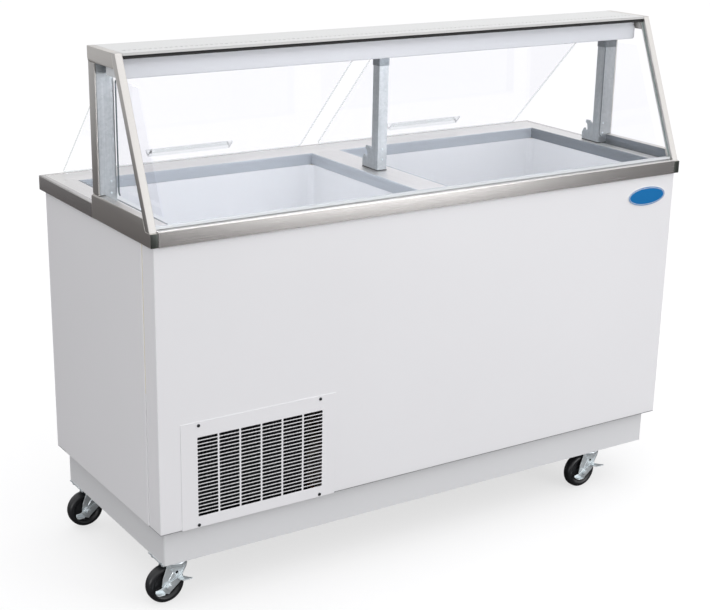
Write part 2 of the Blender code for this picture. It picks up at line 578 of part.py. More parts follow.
COMP = (-0.560, 0.090)
dome = [(0, DECK + 0.012), (0.0900, DECK + 0.012), (0.0960, DECK + 0.030), (0.0960, DECK + 0.095), (0.1000, DECK + 0.100),
        (0.1000, DECK + 0.106), (0.0960, DECK + 0.111), (0.0930, DECK + 0.165), (0.0740, DECK + 0.200),
        (0.0400, DECK + 0.216), (0, DECK + 0.220)]
comp = finish("compressor", lathe(bmesh.new(), dome, "z", (*COMP, 0), 24), "black_enamel", smooth=35)
skid = box(bmesh.new(), COMP[0] - 0.100, COMP[0] + 0.100, COMP[1] - 0.085, COMP[1] + 0.085, DECK, DECK + 0.014)
combine(comp, [finish("skid", skid, "black_enamel")], "UNION")

# liquid line with its drier, from the condenser towards the shallow well's tube
line = [(-0.360, -0.275, 0.200), (-0.335, -0.275, 0.200), (-0.325, -0.265, 0.200), (-0.325, -0.130, 0.200),
        (-0.325, -0.126, 0.200), (-0.325, -0.030, 0.200), (-0.325, -0.026, 0.200), (-0.325, 0.100, 0.200),
        (-0.325, 0.112, 0.212), (-0.325, 0.112, 0.588)]
finish("liquid_line", tube(bmesh.new(), line, [0.004, 0.004, 0.004, 0.004, 0.014, 0.014, 0.004, 0.004, 0.004, 0.004], 10),
       "copper_tube", smooth=50)

# ---- controls and inlet on the server's side --------------------------------------------------------------------
bm = bmesh.new()
y_wall = BODY_Y1 + GAP
loft(bm, [[(x, y, z) for x, z in rounded(-0.640 + o, -0.470 - o, 0.5700 + o, 0.6500 - o, 0.006, 3)]
          for o, y in ((0.0, y_wall), (0.0, y_wall + 0.004), (0.002, y_wall + 0.006))])
finish("control_box", bm, "black_enamel")
KNOB = (-0.590, y_wall + 0.006 + GAP, 0.610)
bm = bmesh.new()
loops = []
for r, h in ((0.0170, 0.0), (0.0170, 0.002), (0.0140, 0.003), (0.0130, 0.009)):
    loop = []
    for i in range(24):
        a = 2 * math.pi * i / 24
        rr = r * (0.86 if h > 0.0025 and i in (6,) else 1.0)
        loop.append((KNOB[0] + rr * math.cos(a), KNOB[1] + h, KNOB[2] + rr * math.sin(a)))
    loops.append(loop)
loft(bm, loops)
finish("thermostat_knob", bm, "fan_plastic", origin=KNOB, smooth=40)
bm = bmesh.new()
levels = ((0.0, y_wall), (0.0, y_wall + 0.012), (0.006, y_wall + 0.012), (0.006, y_wall + 0.003))
loft(bm, [[(x, y, z) for x, z in rounded(-0.280 + o, -0.232 - o, 0.300 + o, 0.332 - o, 0.006 - o * 0.5, 3)]
          for o, y in levels])
finish("power_inlet", bm, "black_enamel")

# ---- casters: fixed top plate, swivelling fork, wheel and side brake pedal ---------------------------------------
def caster(label, sx, sy):
    top = FLOOR_CLEAR - GAP
    ax, az = sx - TRAIL, WHEEL_R
    plate = finish("caster_plate_" + label, box(bmesh.new(), sx - 0.047, sx + 0.047, sy - 0.040, sy + 0.040,
                                                top - 0.003, top), "zinc_plate")
    race = lathe(bmesh.new(), [(0, top - 0.0090), (0.0240, top - 0.0090), (0.0280, top - 0.0060), (0.0280, top - 0.0020),
                               (0, top - 0.0020)], "z", (sx, sy, 0), 24)
    combine(plate, [finish("race", race, "zinc_plate")], "UNION")

    crown = lathe(bmesh.new(), [(0, 0.1062), (0.0300, 0.1062), (0.0330, 0.1100), (0.0300, 0.1178), (0, 0.1178)], "z",
                  (sx, sy, 0), 20)
    fork = finish("caster_fork_" + label, crown, "zinc_plate", origin=(sx, sy, 0.1178))
    leg_shape = [(sx - 0.030, 0.1150), (sx + 0.022, 0.1150), (sx + 0.023, 0.1020), (ax + 0.0135, az - 0.006),
                 (ax + 0.008, az - 0.0125), (ax - 0.003, az - 0.0150), (ax - 0.0120, az - 0.0100),
                 (ax - 0.0150, az + 0.001), (ax - 0.0100, az + 0.020), (sx - 0.031, 0.1040)]
    tools = []
    for y0, y1 in ((sy - 0.0220, sy - 0.0190), (sy + 0.0190, sy + 0.0220)):
        tools.append(finish("leg", extrude(bmesh.new(), [leg_shape], "xz", y0, y1), "zinc_plate"))
    tools.append(finish("bar", box(bmesh.new(), sx - 0.020, sx + 0.018, sy - 0.0220, sy + 0.0220, 0.1080, 0.1150),
                        "zinc_plate"))
    axle = [(0, -0.0320), (0.0080, -0.0320), (0.0080, -0.0262), (0.0044, -0.0262), (0.0044, 0.0200), (0.0075, 0.0205),
            (0.0075, 0.0280), (0, 0.0280)]
    tools.append(finish("axle", lathe(bmesh.new(), axle, "y", (ax, sy, az), 24), "zinc_plate"))
    combine(fork, tools, "UNION")

    w = WHEEL_W / 2
    tread = [(0.0047, -w - 0.001), (0.0140, -w - 0.001), (0.0360, -w + 0.004), (0.0410, -w), (WHEEL_R, -w + 0.004),
             (WHEEL_R, w - 0.004), (0.0410, w), (0.0360, w - 0.004), (0.0140, w + 0.001), (0.0047, w + 0.001)]
    finish("caster_wheel_" + label, lathe(bmesh.new(), tread, "y", (ax, sy, az), 24), "black_wheel",
           origin=(ax, sy, az), smooth=35)

    y0, y1 = sy - 0.0255, sy - 0.0227
    arm = [(ax - 0.034, az - 0.011), (ax - 0.012, az - 0.014), (ax + 0.002, az - 0.016), (ax + 0.012, az - 0.008),
           (ax + 0.042, az + 0.016), (ax + 0.042, az + 0.022), (ax + 0.028, az + 0.024), (ax + 0.004, az + 0.012),
           (ax - 0.010, az + 0.006), (ax - 0.034, az - 0.005)]
    pedal = finish("caster_brake_" + label, extrude(bmesh.new(), [arm, circle(ax, az, 0.0048, 24)], "xz", y0, y1),
                   "zinc_plate", origin=(ax, sy, az))
    tabs = [box(bmesh.new(), ax - 0.0335, ax - 0.0150, sy - 0.0480, y1 - 0.0002, az - 0.0105, az - 0.0075),
            box(bmesh.new(), ax + 0.0240, ax + 0.0415, sy - 0.0480, y1 - 0.0002, az + 0.0180, az + 0.0205)]
    combine(pedal, [finish("tab", t, "zinc_plate") for t in tabs], "UNION")


for label, (sx, sy) in CASTERS.items():
    caster(label, sx, sy)

for mesh in [m for m in bpy.data.meshes if m.users == 0]:
    bpy.data.meshes.remove(mesh)
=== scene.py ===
"""Ice cream dipping cabinet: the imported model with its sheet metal, glass, fittings and finishes."""
import math
import bpy
import bmesh
from mathutils import Matrix, Vector, geometry


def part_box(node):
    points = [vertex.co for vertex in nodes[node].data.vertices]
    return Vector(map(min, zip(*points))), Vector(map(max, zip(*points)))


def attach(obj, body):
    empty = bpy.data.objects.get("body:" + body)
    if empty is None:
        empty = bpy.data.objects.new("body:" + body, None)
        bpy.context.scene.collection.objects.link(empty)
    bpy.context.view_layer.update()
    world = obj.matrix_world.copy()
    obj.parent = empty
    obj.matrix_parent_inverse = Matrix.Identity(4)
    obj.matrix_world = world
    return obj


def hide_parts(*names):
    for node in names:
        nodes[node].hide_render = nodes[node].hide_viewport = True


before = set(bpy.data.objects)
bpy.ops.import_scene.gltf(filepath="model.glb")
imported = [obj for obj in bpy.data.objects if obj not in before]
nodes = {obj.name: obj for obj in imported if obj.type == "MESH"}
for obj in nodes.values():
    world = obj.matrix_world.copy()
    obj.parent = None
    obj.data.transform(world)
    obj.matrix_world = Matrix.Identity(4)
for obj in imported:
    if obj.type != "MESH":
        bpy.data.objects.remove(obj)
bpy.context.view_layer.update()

# ---- Studio --------------------------------------------------------------------------------------------
# The cabinet stands on a pale floor in soft white surround light that is brighter overhead and to the right.
# A soft box stands ahead of it, a low one stands on its left and a weak one hangs overhead. The camera sees
# the floor white, but metal and glass mirror it in grey, as they would in a room.
eye = Vector((-2.2681, -3.3704, 1.9086))
yaw, pitch, roll = 0.5651, 0.3195, 0.0138
forward = Vector((math.sin(yaw) * math.cos(pitch), math.cos(yaw) * math.cos(pitch), -math.sin(pitch)))
level = Vector((math.cos(yaw), -math.sin(yaw), 0.0))
above = level.cross(forward)
across = level * math.cos(roll) + above * math.sin(roll)
upright = above * math.cos(roll) - level * math.sin(roll)
camera = bpy.data.objects.new("camera", bpy.data.cameras.new("camera"))
camera.data.sensor_width = 36.0
camera.data.lens = 74.49
camera.data.shift_x, camera.data.shift_y = 0.0356, 0.0197
camera.matrix_world = Matrix.Translation(eye) @ Matrix((across, upright, -forward)).transposed().to_4x4()
bpy.context.scene.collection.objects.link(camera)
bpy.context.scene.camera = camera
bpy.context.scene.view_settings.view_transform = "Standard"


def colour(code):
    """sRGB hex to linear colour."""
    parts = [int(code[i:i + 2], 16) / 255 for i in (0, 2, 4)]
    return tuple(c / 12.92 if c < 0.04045 else ((c + 0.055) / 1.055) ** 2.4 for c in parts) + (1.0,)


def put(tree, kind, inputs=None, **settings):
    """Add a node; an input that is given a socket is linked to it."""
    made = tree.nodes.new(kind)
    for key, value in settings.items():
        setattr(made, key, value)
    for key, value in (inputs or {}).items():
        if isinstance(value, bpy.types.NodeSocket):
            tree.links.new(value, made.inputs[key])
        else:
            made.inputs[key].default_value = value
    return made


def lamp(name, place, target, size, power, tint):
    """Rectangular soft box aimed at a point."""
    light = bpy.data.lights.new(name, "AREA")
    light.shape, light.size, light.size_y = "RECTANGLE", size[0], size[1]
    light.energy, light.color = power, colour(tint)[:3]
    made = bpy.data.objects.new(name, light)
    made.location = place
    made.rotation_euler = (Vector(target) - Vector(place)).to_track_quat("-Z", "Y").to_euler()
    bpy.context.scene.collection.objects.link(made)


world = bpy.data.worlds.new("white surround")
bpy.context.scene.world = world
world.use_nodes = True
sky = world.node_tree
toward = put(sky, "ShaderNodeTexCoord").outputs["Generated"]
lean = put(sky, "ShaderNodeVectorMath", {0: toward, 1: (0.35, -0.35, 0.80)}, operation="DOT_PRODUCT")
glow = put(sky, "ShaderNodeMapRange", {"Value": lean.outputs["Value"], "From Min": -0.6, "From Max": 0.8,
                                       "To Min": 0.45, "To Max": 1.30})
sky.links.new(glow.outputs["Result"], sky.nodes["Background"].inputs["Strength"])
sky.nodes["Background"].inputs["Color"].default_value = colour("FDFDFF")
lamp("front_soft_box", (1.64, -3.4, 0.90), (0.0, -0.3, 0.8), (1.5, 1.1), 31.0, "FFFFFF")
lamp("left_soft_box", (-4.3, -1.6, 0.62), (-0.8, 0.0, 0.7), (2.2, 0.9), 30.0, "FFFFFF")
lamp("overhead_soft_box", (0.4, -0.4, 4.4), (0.0, 0.0, 0.8), (3.2, 2.4), 14.0, "FFFFFF")

floor_mesh = bpy.data.meshes.new("floor")
floor_mesh.from_pydata([(-60, -60, 0), (60, -60, 0), (60, 60, 0), (-60, 60, 0)], [], [(0, 1, 2, 3)])
floor = bpy.data.objects.new("floor", floor_mesh)
bpy.context.scene.collection.objects.link(floor)
floor_paint = bpy.data.materials.new("Matt studio floor, grey to the metal and white further back")
floor_paint.use_nodes = True
tree = floor_paint.node_tree
tree.nodes.clear()
ground = put(tree, "ShaderNodeTexCoord").outputs["Object"]
behind = put(tree, "ShaderNodeSeparateXYZ", {"Vector": ground}).outputs["Y"]
reach = put(tree, "ShaderNodeMapRange", {"Value": behind, "From Min": 4.6, "From Max": 6.2})
tone = put(tree, "ShaderNodeMix", {0: reach.outputs["Result"], 6: colour("5E5B5B"), 7: colour("C6C6C6")},
           data_type="RGBA")
grey = put(tree, "ShaderNodeBsdfDiffuse", {"Color": tone.outputs[2]})
seen_matt = put(tree, "ShaderNodeBsdfDiffuse", {"Color": colour("9A9A9A")})
seen_glow = put(tree, "ShaderNodeEmission", {"Color": colour("FFFFFF"), "Strength": 0.66})
seen = put(tree, "ShaderNodeAddShader", {0: seen_matt.outputs["BSDF"], 1: seen_glow.outputs["Emission"]})
looked_at = put(tree, "ShaderNodeLightPath").outputs["Is Camera Ray"]
both = put(tree, "ShaderNodeMixShader", {0: looked_at, 1: grey.outputs["BSDF"], 2: seen.outputs["Shader"]})
put(tree, "ShaderNodeOutputMaterial", {"Surface": both.outputs["Shader"]})
floor_mesh.materials.append(floor_paint)

# ---- Casters -------------------------------------------------------------------------------------------
# Four swivel casters, each a pressed top plate with a ball race, a folded fork, a moulded hard rubber wheel
# on a bolt, and a side brake lever. The steel is stamped, then bright zinc plated; the tyre is black.
CORNERS = ("front_left", "front_right", "rear_left", "rear_right")
EDGE = 0.0004                        # radius left on a sheared and tumbled sheet edge


def at(plane, u, v, w):
    """Point at (u, v) in the named plane and at level w across it."""
    return {"xy": (u, v, w), "xz": (u, w, v), "yz": (w, u, v)}[plane]


def moved(loop, amount, closed=True):
    """The loop moved to its left (inwards when it runs anticlockwise), with mitred corners."""
    out, count = [], len(loop)
    for i in range(count):
        here = Vector(loop[i])
        before = Vector(loop[i - 1]) if closed or i else None
        after = Vector(loop[(i + 1) % count]) if closed or i + 1 < count else None
        a = (here - before).normalized() if before else (after - here).normalized()
        b = (after - here).normalized() if after else a
        left, right = Vector((-a.y, a.x)), Vector((-b.y, b.x))
        out.append(here + (left + right) / max(0.3, 1 + left.dot(right)) * amount)
    return out


def anticlockwise(loop):
    """The same loop, turned round if it runs clockwise."""
    area = sum(a[0] * b[1] - b[0] * a[1] for a, b in zip(loop, loop[1:] + loop[:1]))
    return list(loop) if area > 0 else list(loop[::-1])


def slab(bm, loops, plane, low, high, edge=EDGE):
    """Flat plate between two levels: an outline, then its holes, with a small radius on every edge."""
    loops = [anticlockwise(loop) for loop in loops]
    small = [moved(loop, -edge if i else edge) for i, loop in enumerate(loops)]
    rings = []
    for w, shapes in ((low, small), (low + edge, loops), (high - edge, loops), (high, small)):
        rings.append([[bm.verts.new(at(plane, u, v, w)) for u, v in loop] for loop in shapes])
    flat = [[Vector((u, v, 0.0)) for u, v in loop] for loop in small]
    triangles = geometry.tessellate_polygon(flat)
    for ring in (rings[0], rings[-1]):
        every = [v for loop in ring for v in loop]
        for tri in triangles:
            bm.faces.new([every[i] for i in tri])
    for lower, upper in zip(rings, rings[1:]):
        for one, two in zip(lower, upper):
            for i in range(len(one)):
                j = (i + 1) % len(one)
                bm.faces.new((one[i], one[j], two[j], two[i]))
    return bm


def skin(bm, loops, closed=False):
    """Skin 3-D loops of equal point counts; the two ends are capped unless the skin is closed."""
    rings = [[bm.verts.new(p) for p in loop] for loop in loops]
    for one, two in list(zip(rings, rings[1:])) + ([(rings[-1], rings[0])] if closed else []):
        for i in range(len(one)):
            j = (i + 1) % len(one)
            bm.faces.new((one[i], one[j], two[j], two[i]))
    if not closed:
        bm.faces.new(rings[0])
        bm.faces.new(rings[-1][::-1])
    return bm


def turned(bm, profile, axis, centre, steps=40):
    """Turn (radius, height) points about an axis; a profile that leaves the axis out makes a ring."""
    u, v, w = {"x": ((0, 1, 0), (0, 0, 1), (1, 0, 0)), "y": ((1, 0, 0), (0, 0, 1), (0, 1, 0)),
               "z": ((1, 0, 0), (0, 1, 0), (0, 0, 1))}[axis]
    u, v, w, c = Vector(u), Vector(v), Vector(w), Vector(centre)
    angles = [2 * math.pi * i / steps for i in range(steps)]
    loops = [[c + w * h + (u * math.cos(a) + v * math.sin(a)) * max(r, 0.00001) for a in angles]
             for r, h in profile]
    return skin(bm, loops, closed=profile[0][0] > 0)


def rounded(x0, x1, y0, y1, r, steps=4):
    """Rounded rectangle as a loop of 2-D points."""
    out = []
    for cx, cy, start in ((x1 - r, y1 - r, 0), (x0 + r, y1 - r, 90), (x0 + r, y0 + r, 180),
                          (x1 - r, y0 + r, 270)):
        for i in range(steps + 1):
            a = math.radians(start + 90.0 * i / steps)
            out.append((cx + r * math.cos(a), cy + r * math.sin(a)))
    return out


def rectangle(x0, x1, y0, y1):
    """Rectangle as a loop of 2-D points."""
    return [(x0, y0), (x1, y0), (x1, y1), (x0, y1)]


def circle(cx, cy, r, steps=24):
    """Circle as a loop of 2-D points."""
    return [(cx + r * math.cos(2 * math.pi * i / steps), cy + r * math.sin(2 * math.pi * i / steps))
            for i in range(steps)]


def bar(bm, path, radius, steps=8):
    """Round bar along a path of points."""
    loops, side = [], None
    points = [Vector(p) for p in path]
    for i, p in enumerate(points):
        a = (p - points[i - 1]).normalized() if i else (points[1] - p).normalized()
        b = (points[i + 1] - p).normalized() if i + 1 < len(points) else a
        t = (a + b).normalized()
        side = (side - t * side.dot(t)).normalized() if side else t.orthogonal().normalized()
        other, grow = t.cross(side), 1.0 / max(0.5, a.dot(t))
        turns = [2 * math.pi * k / steps for k in range(steps)]
        loops.append([p + (side * math.cos(k) + other * math.sin(k)) * radius * grow for k in turns])
    return skin(bm, loops)


def piece(name, bm, mats, body="cabinet", stands_for=(), smooth=50):
    """Make a finished object from a mesh, shaded smooth up to the given edge angle, riding on a body."""
    bmesh.ops.remove_doubles(bm, verts=bm.verts, dist=0.000015)
    bmesh.ops.recalc_face_normals(bm, faces=bm.faces)
    mesh = bpy.data.meshes.new(name)
    bm.to_mesh(mesh)
    bm.free()
    for mat in mats if isinstance(mats, (list, tuple)) else [mats]:
        mesh.materials.append(mat)
    mesh.shade_smooth()
    mesh.set_sharp_from_angle(angle=math.radians(smooth))
    obj = bpy.data.objects.new(name, mesh)
    bpy.context.scene.collection.objects.link(obj)
    even = obj.modifiers.new("even shading", "WEIGHTED_NORMAL")
    even.keep_sharp = True
    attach(obj, body)
    if stands_for:
        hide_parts(*stands_for)
    return obj


def begin(name):
    """An empty material, its tree and the object coordinates in metres."""
    made = bpy.data.materials.new(name)
    made.use_nodes = True
    made.node_tree.nodes.clear()
    return made, made.node_tree, put(made.node_tree, "ShaderNodeTexCoord").outputs["Object"]


def plated(name, light, dark, rough, cloud, metal=1.0):
    """Plated or galvanised steel: soft cloudy tone of the given size in metres, with a fine matt tooth."""
    made, tree, place = begin(name)
    patch = put(tree, "ShaderNodeTexNoise", {"Scale": 1 / cloud, "Detail": 5.0, "Vector": place})
    tone = put(tree, "ShaderNodeMix", {0: patch.outputs["Fac"], 6: colour(light), 7: colour(dark)},
               data_type="RGBA")
    gloss = put(tree, "ShaderNodeMapRange", {"Value": patch.outputs["Fac"], "From Min": 0.3, "From Max": 0.7,
                                             "To Min": rough - 0.05, "To Max": rough + 0.08})
    tooth = put(tree, "ShaderNodeTexNoise", {"Scale": 900.0, "Detail": 2.0, "Vector": place})  # 1.1 mm tooth
    bump = put(tree, "ShaderNodeBump", {"Strength": 0.10, "Distance": 0.0002, "Height": tooth.outputs["Fac"]})
    shader = put(tree, "ShaderNodeBsdfPrincipled", {"Base Color": tone.outputs[2], "Metallic": metal,
                                                    "Roughness": gloss.outputs["Result"],
                                                    "Normal": bump.outputs["Normal"]})
    put(tree, "ShaderNodeOutputMaterial", {"Surface": shader.outputs["BSDF"]})
    return made


def moulded(name, light, dark, rough, grain=0.0015, ior=1.5, depth=0.0002):
    """Moulded polymer or enamel: a nearly even colour with a fine skin grain of the given size."""
    made, tree, place = begin(name)
    broad = put(tree, "ShaderNodeTexNoise", {"Scale": 7.0, "Detail": 3.0, "Vector": place})
    tone = put(tree, "ShaderNodeMix", {0: broad.outputs["Fac"], 6: colour(light), 7: colour(dark)},
               data_type="RGBA")
    fine = put(tree, "ShaderNodeTexNoise", {"Scale": 1 / grain, "Detail": 2.0, "Vector": place})
    gloss = put(tree, "ShaderNodeMapRange", {"Value": fine.outputs["Fac"], "To Min": rough - 0.05,
                                             "To Max": rough + 0.05})
    bump = put(tree, "ShaderNodeBump", {"Strength": 0.12, "Distance": depth, "Height": fine.outputs["Fac"]})
    shader = put(tree, "ShaderNodeBsdfPrincipled", {"Base Color": tone.outputs[2], "IOR": ior,
                                                    "Roughness": gloss.outputs["Result"],
                                                    "Normal": bump.outputs["Normal"]})
    put(tree, "ShaderNodeOutputMaterial", {"Surface": shader.outputs["BSDF"]})
    return made


# bright zinc reads as cool silver with a soft, slightly cloudy mirror
zinc = plated("Bright zinc plated pressed steel, passivated", "EDF3F5", "D3DCE0", 0.34, 0.012, 0.65)
# hard rubber reads as near black with a faint satin sheen on the tread
tyre = moulded("Black hard rubber, moulded", "222325", "17181A", 0.36, 0.0022)
# blackened fasteners read as small charcoal dots with a dull glint
dark_steel = plated("Blackened steel fastener", "4A4D50", "2E3032", 0.38, 0.004)


def hexagon(cx, cy, across_flats):
    """Hexagon for a bolt head or nut, sized over its flats."""
    return circle(cx, cy, across_flats / math.sqrt(3), 6)


def caster(corner):
    """One caster: its plate on the body, and its fork, wheel and brake lever each on a body of its own."""
    wheel_low, wheel_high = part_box("caster_wheel_" + corner)
    plate_low, plate_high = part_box("caster_plate_" + corner)
    sx, sy = (plate_low[0] + plate_high[0]) / 2, (plate_low[1] + plate_high[1]) / 2
    ax, az, radius = (wheel_low[0] + wheel_high[0]) / 2, (wheel_low[2] + wheel_high[2]) / 2, wheel_high[2] / 2
    top = plate_high[2]

    # top plate with open-ended bolt slots, its stiffening rim and the ball race below it
    bm = bmesh.new()
    half_x, half_y, slot_w, slot_d = 0.054, 0.044, 0.0045, 0.013
    outline = []
    for ex in (1, -1):
        for ey in (-1, 1) if ex > 0 else (1, -1):
            cy = ey * 0.029
            steps = [(ex * half_x, cy - ex * slot_w), (ex * (half_x - slot_d), cy - ex * slot_w),
                     (ex * (half_x - slot_d - 0.003), cy), (ex * (half_x - slot_d), cy + ex * slot_w),
                     (ex * half_x, cy + ex * slot_w)]
            corner_pt = (ex * half_x, ey * half_y)
            before = (ey < 0) == (ex > 0)
            outline += ([corner_pt] + steps) if before else (steps + [corner_pt])
    slab(bm, [[(sx + u, sy + v) for u, v in outline]], "xy", top - 0.0030, top)
    turned(bm, [(0, top - 0.0028), (0.0330, top - 0.0028), (0.0330, top - 0.0042), (0.0285, top - 0.0058),
                (0.0285, top - 0.0088), (0, top - 0.0088)], "z", (sx, sy, 0))
    for ex in (-1, 1):
        for ey in (-1, 1):
            bx, by = sx + ex * (half_x - 0.009), sy + ey * 0.029
            slab(bm, [hexagon(bx, by, 0.013)], "xy", top - 0.0090, top - 0.0042, 0.0006)
            slab(bm, [circle(bx, by, 0.0085)], "xy", top - 0.0044, top - 0.0028, 0.0003)
    piece("caster_top_plate_" + corner, bm, zinc, "cabinet", ["caster_plate_" + corner])

    # fork: a pressed crown and two flanged legs, with the axle bolt and its nut
    bm = bmesh.new()
    turned(bm, [(0, 0.1052), (0.0235, 0.1052), (0.0300, 0.1066), (0.0325, 0.1092), (0.0332, 0.1130),
                (0.0318, 0.1164), (0.0290, 0.1178), (0, 0.1178)], "z", (sx, sy, 0))
    leg_in, leg_out = 0.0195, 0.0221
    leg = [(sx - 0.0310, 0.1150), (sx - 0.0335, 0.1040), (ax - 0.0140, az + 0.024), (ax - 0.0175, az + 0.002)]
    leg += [(ax + 0.0170 * math.cos(a), az + 0.0170 * math.sin(a))
            for a in [math.radians(190 + 20 * i) for i in range(6)]]
    leg += [(ax + 0.0130, az - 0.0085), (sx + 0.0100, 0.0730), (sx + 0.0230, 0.0960), (sx + 0.0260, 0.1060),
            (sx + 0.0250, 0.1150)]
    for side in (-1, 1):
        a, b = sorted((sy + side * leg_in, sy + side * leg_out))
        slab(bm, [leg, circle(sx - 0.004, 0.0860, 0.0040, 16)], "xz", a, b, 0.0007)
        # pressed stiffening lines on the outer face, and the folded front edge of the leg
        face = sy + side * leg_out
        bar(bm, [(sx - 0.0235, face, 0.1060), (sx - 0.0235, face, 0.0960), (sx - 0.0160, face, 0.0960),
                 (sx - 0.0160, face, 0.0870), (ax + 0.0020, face, az + 0.016)], 0.0012, 6)
        bar(bm, [(sx + 0.0190, face, 0.1070), (sx + 0.0165, face, 0.0960), (sx + 0.0040, face, 0.0740)],
            0.0012, 6)
    slab(bm, [rectangle(sy - leg_out, sy + leg_out, 0.1080, 0.1150)], "yz", sx - 0.0200, sx + 0.0180, 0.0008)
    slab(bm, [hexagon(ax, az, 0.0135)], "xz", sy - 0.0326, sy - 0.0272, 0.0007)
    slab(bm, [circle(ax, az, 0.0098)], "xz", sy - 0.0272, sy - 0.0258, 0.0003)
    bolt = [(0, -0.0270), (0.0044, -0.0270), (0.0044, 0.0300), (0.0036, 0.0312), (0, 0.0312)]
    turned(bm, bolt, "y", (ax, sy, az), 20)
    slab(bm, [hexagon(ax, az, 0.0130)], "xz", sy + 0.0236, sy + 0.0290, 0.0007)
    slab(bm, [circle(ax, az, 0.0098)], "xz", sy + 0.0222, sy + 0.0236, 0.0003)
    piece("caster_swivel_fork_" + corner, bm, zinc, "fork_" + corner, ["caster_fork_" + corner])

    # wheel: crowned tread, a step down to a recessed web, and a raised hub
    bm = bmesh.new()
    w = 0.0150                       # half the wheel's width
    half = [(0.0047, w + 0.0008), (0.0120, w + 0.0008), (0.0138, w - 0.0004), (0.0150, w - 0.0040),
            (0.0330, w - 0.0048), (0.0370, w - 0.0018), (0.0386, w - 0.0004), (0.0410, w),
            (0.0450, w - 0.0003), (0.0486, w - 0.0022), (radius - 0.0012, w - 0.0052),
            (radius - 0.0003, w - 0.0090), (radius, w - 0.0130)]
    turned(bm, [(r, -h) for r, h in half] + [(r, h) for r, h in half[::-1]], "y", (ax, sy, az), 64)
    for k in range(6):
        turn = math.radians(60 * k + 15)
        c, s = math.cos(turn), math.sin(turn)
        rib = [(ax + r * c - t * s, az + r * s + t * c)
               for r, t in rectangle(0.0140, 0.0345, -0.0012, 0.0012)]
        for side in (-1, 1):
            a, b = sorted((sy + side * (w - 0.0060), sy + side * (w - 0.0036)))
            slab(bm, [rib], "xz", a, b, 0.0005)
    piece("caster_tyred_wheel_" + corner, bm, tyre, "wheel_" + corner, ["caster_wheel_" + corner],
          35)

    # brake lever: a stamped arm over the axle with a folded toe tab and a long heel tab
    bm = bmesh.new()
    y0, y1 = sy - 0.0256, sy - 0.0228
    arm = [(ax - 0.0380, az - 0.0100), (ax - 0.0300, az - 0.0150), (ax - 0.0160, az - 0.0135),
           (ax - 0.0090, az - 0.0180), (ax + 0.0010, az - 0.0215), (ax + 0.0060, az - 0.0150),
           (ax + 0.0150, az - 0.0080), (ax + 0.0400, az + 0.0130), (ax + 0.0440, az + 0.0200),
           (ax + 0.0340, az + 0.0250), (ax + 0.0240, az + 0.0200), (ax + 0.0080, az + 0.0130),
           (ax - 0.0080, az + 0.0120), (ax - 0.0140, az + 0.0020), (ax - 0.0240, az - 0.0020),
           (ax - 0.0370, az - 0.0040)]
    slab(bm, [arm, circle(ax, az, 0.0052, 20)], "xz", y0, y1, 0.0006)
    hook = [(ax + 0.0112 * math.cos(a), y0, az + 0.0112 * math.sin(a))
            for a in [math.radians(95 + 20 * i) for i in range(9)]]
    bar(bm, hook, 0.0010, 6)
    toe = [(ax - 0.0380, sy - 0.0235), (ax - 0.0400, sy - 0.0400), (ax - 0.0360, sy - 0.0450),
           (ax - 0.0200, sy - 0.0450), (ax - 0.0160, sy - 0.0380), (ax - 0.0160, sy - 0.0235)]
    slab(bm, [toe], "xy", az - 0.0102, az - 0.0078, 0.0006)
    heel = [(ax + 0.0270, sy - 0.0235), (ax + 0.0270, sy - 0.0400), (ax + 0.0330, sy - 0.0480),
            (ax + 0.0580, sy - 0.0480), (ax + 0.0600, sy - 0.0440), (ax + 0.0520, sy - 0.0380),
            (ax + 0.0420, sy - 0.0235)]
    slab(bm, [heel], "xy", az + 0.0186, az + 0.0208, 0.0006)
    turned(bm, [(0, -0.0300), (0.0038, -0.0300), (0.0044, -0.0292), (0.0044, -0.0230), (0, -0.0230)], "y",
           (ax + 0.0300, sy, az + 0.0190), 16)
    piece("caster_brake_lever_" + corner, bm, zinc, "brake_" + corner, ["caster_brake_" + corner])


for corner in CORNERS:
    caster(corner)

# ---- Base tray -----------------------------------------------------------------------------------------
# A folded steel tray that carries the machinery and the wells and hides the caster plates. It is powder
# coated a little greyer than the body, and its folds have a small radius.


def dress(name, mat, bevel=0.0, segments=2):
    """Give a CAD node its finish, and a small radius on its folded or cut edges."""
    obj = nodes[name]
    if not obj.material_slots:
        obj.data.materials.append(mat)
    for held in obj.material_slots:
        held.material = mat
    if bevel:
        flat = obj.modifiers.new("flat faces", "DECIMATE")
        flat.decimate_type, flat.angle_limit = "DISSOLVE", math.radians(0.5)
        edge = obj.modifiers.new("edge radius", "BEVEL")
        edge.width, edge.segments, edge.limit_method = bevel, segments, "ANGLE"
        edge.angle_limit, edge.harden_normals = math.radians(32), True
    return obj


def powder_coat(name, light, dark, rough):
    """Polyester powder coat on steel sheet: a faint orange peel and a barely uneven white."""
    made, tree, place = begin(name)
    broad = put(tree, "ShaderNodeTexNoise", {"Scale": 2.2, "Detail": 3.0, "Vector": place})
    tone = put(tree, "ShaderNodeMix", {0: broad.outputs["Fac"], 6: colour(light), 7: colour(dark)},
               data_type="RGBA")
    peel = put(tree, "ShaderNodeTexNoise", {"Scale": 380.0, "Detail": 2.0, "Vector": place})  # 2.6 mm ripple
    bump = put(tree, "ShaderNodeBump", {"Strength": 0.05, "Distance": 0.0004, "Height": peel.outputs["Fac"]})
    gloss = put(tree, "ShaderNodeMapRange", {"Value": peel.outputs["Fac"], "To Min": rough - 0.04,
                                             "To Max": rough + 0.06})
    shader = put(tree, "ShaderNodeBsdfPrincipled", {
        "Base Color": tone.outputs[2], "Roughness": gloss.outputs["Result"], "IOR": 1.5,
        "Coat Weight": 0.12, "Coat Roughness": 0.25, "Normal": bump.outputs["Normal"]})
    put(tree, "ShaderNodeOutputMaterial", {"Surface": shader.outputs["BSDF"]})
    return made


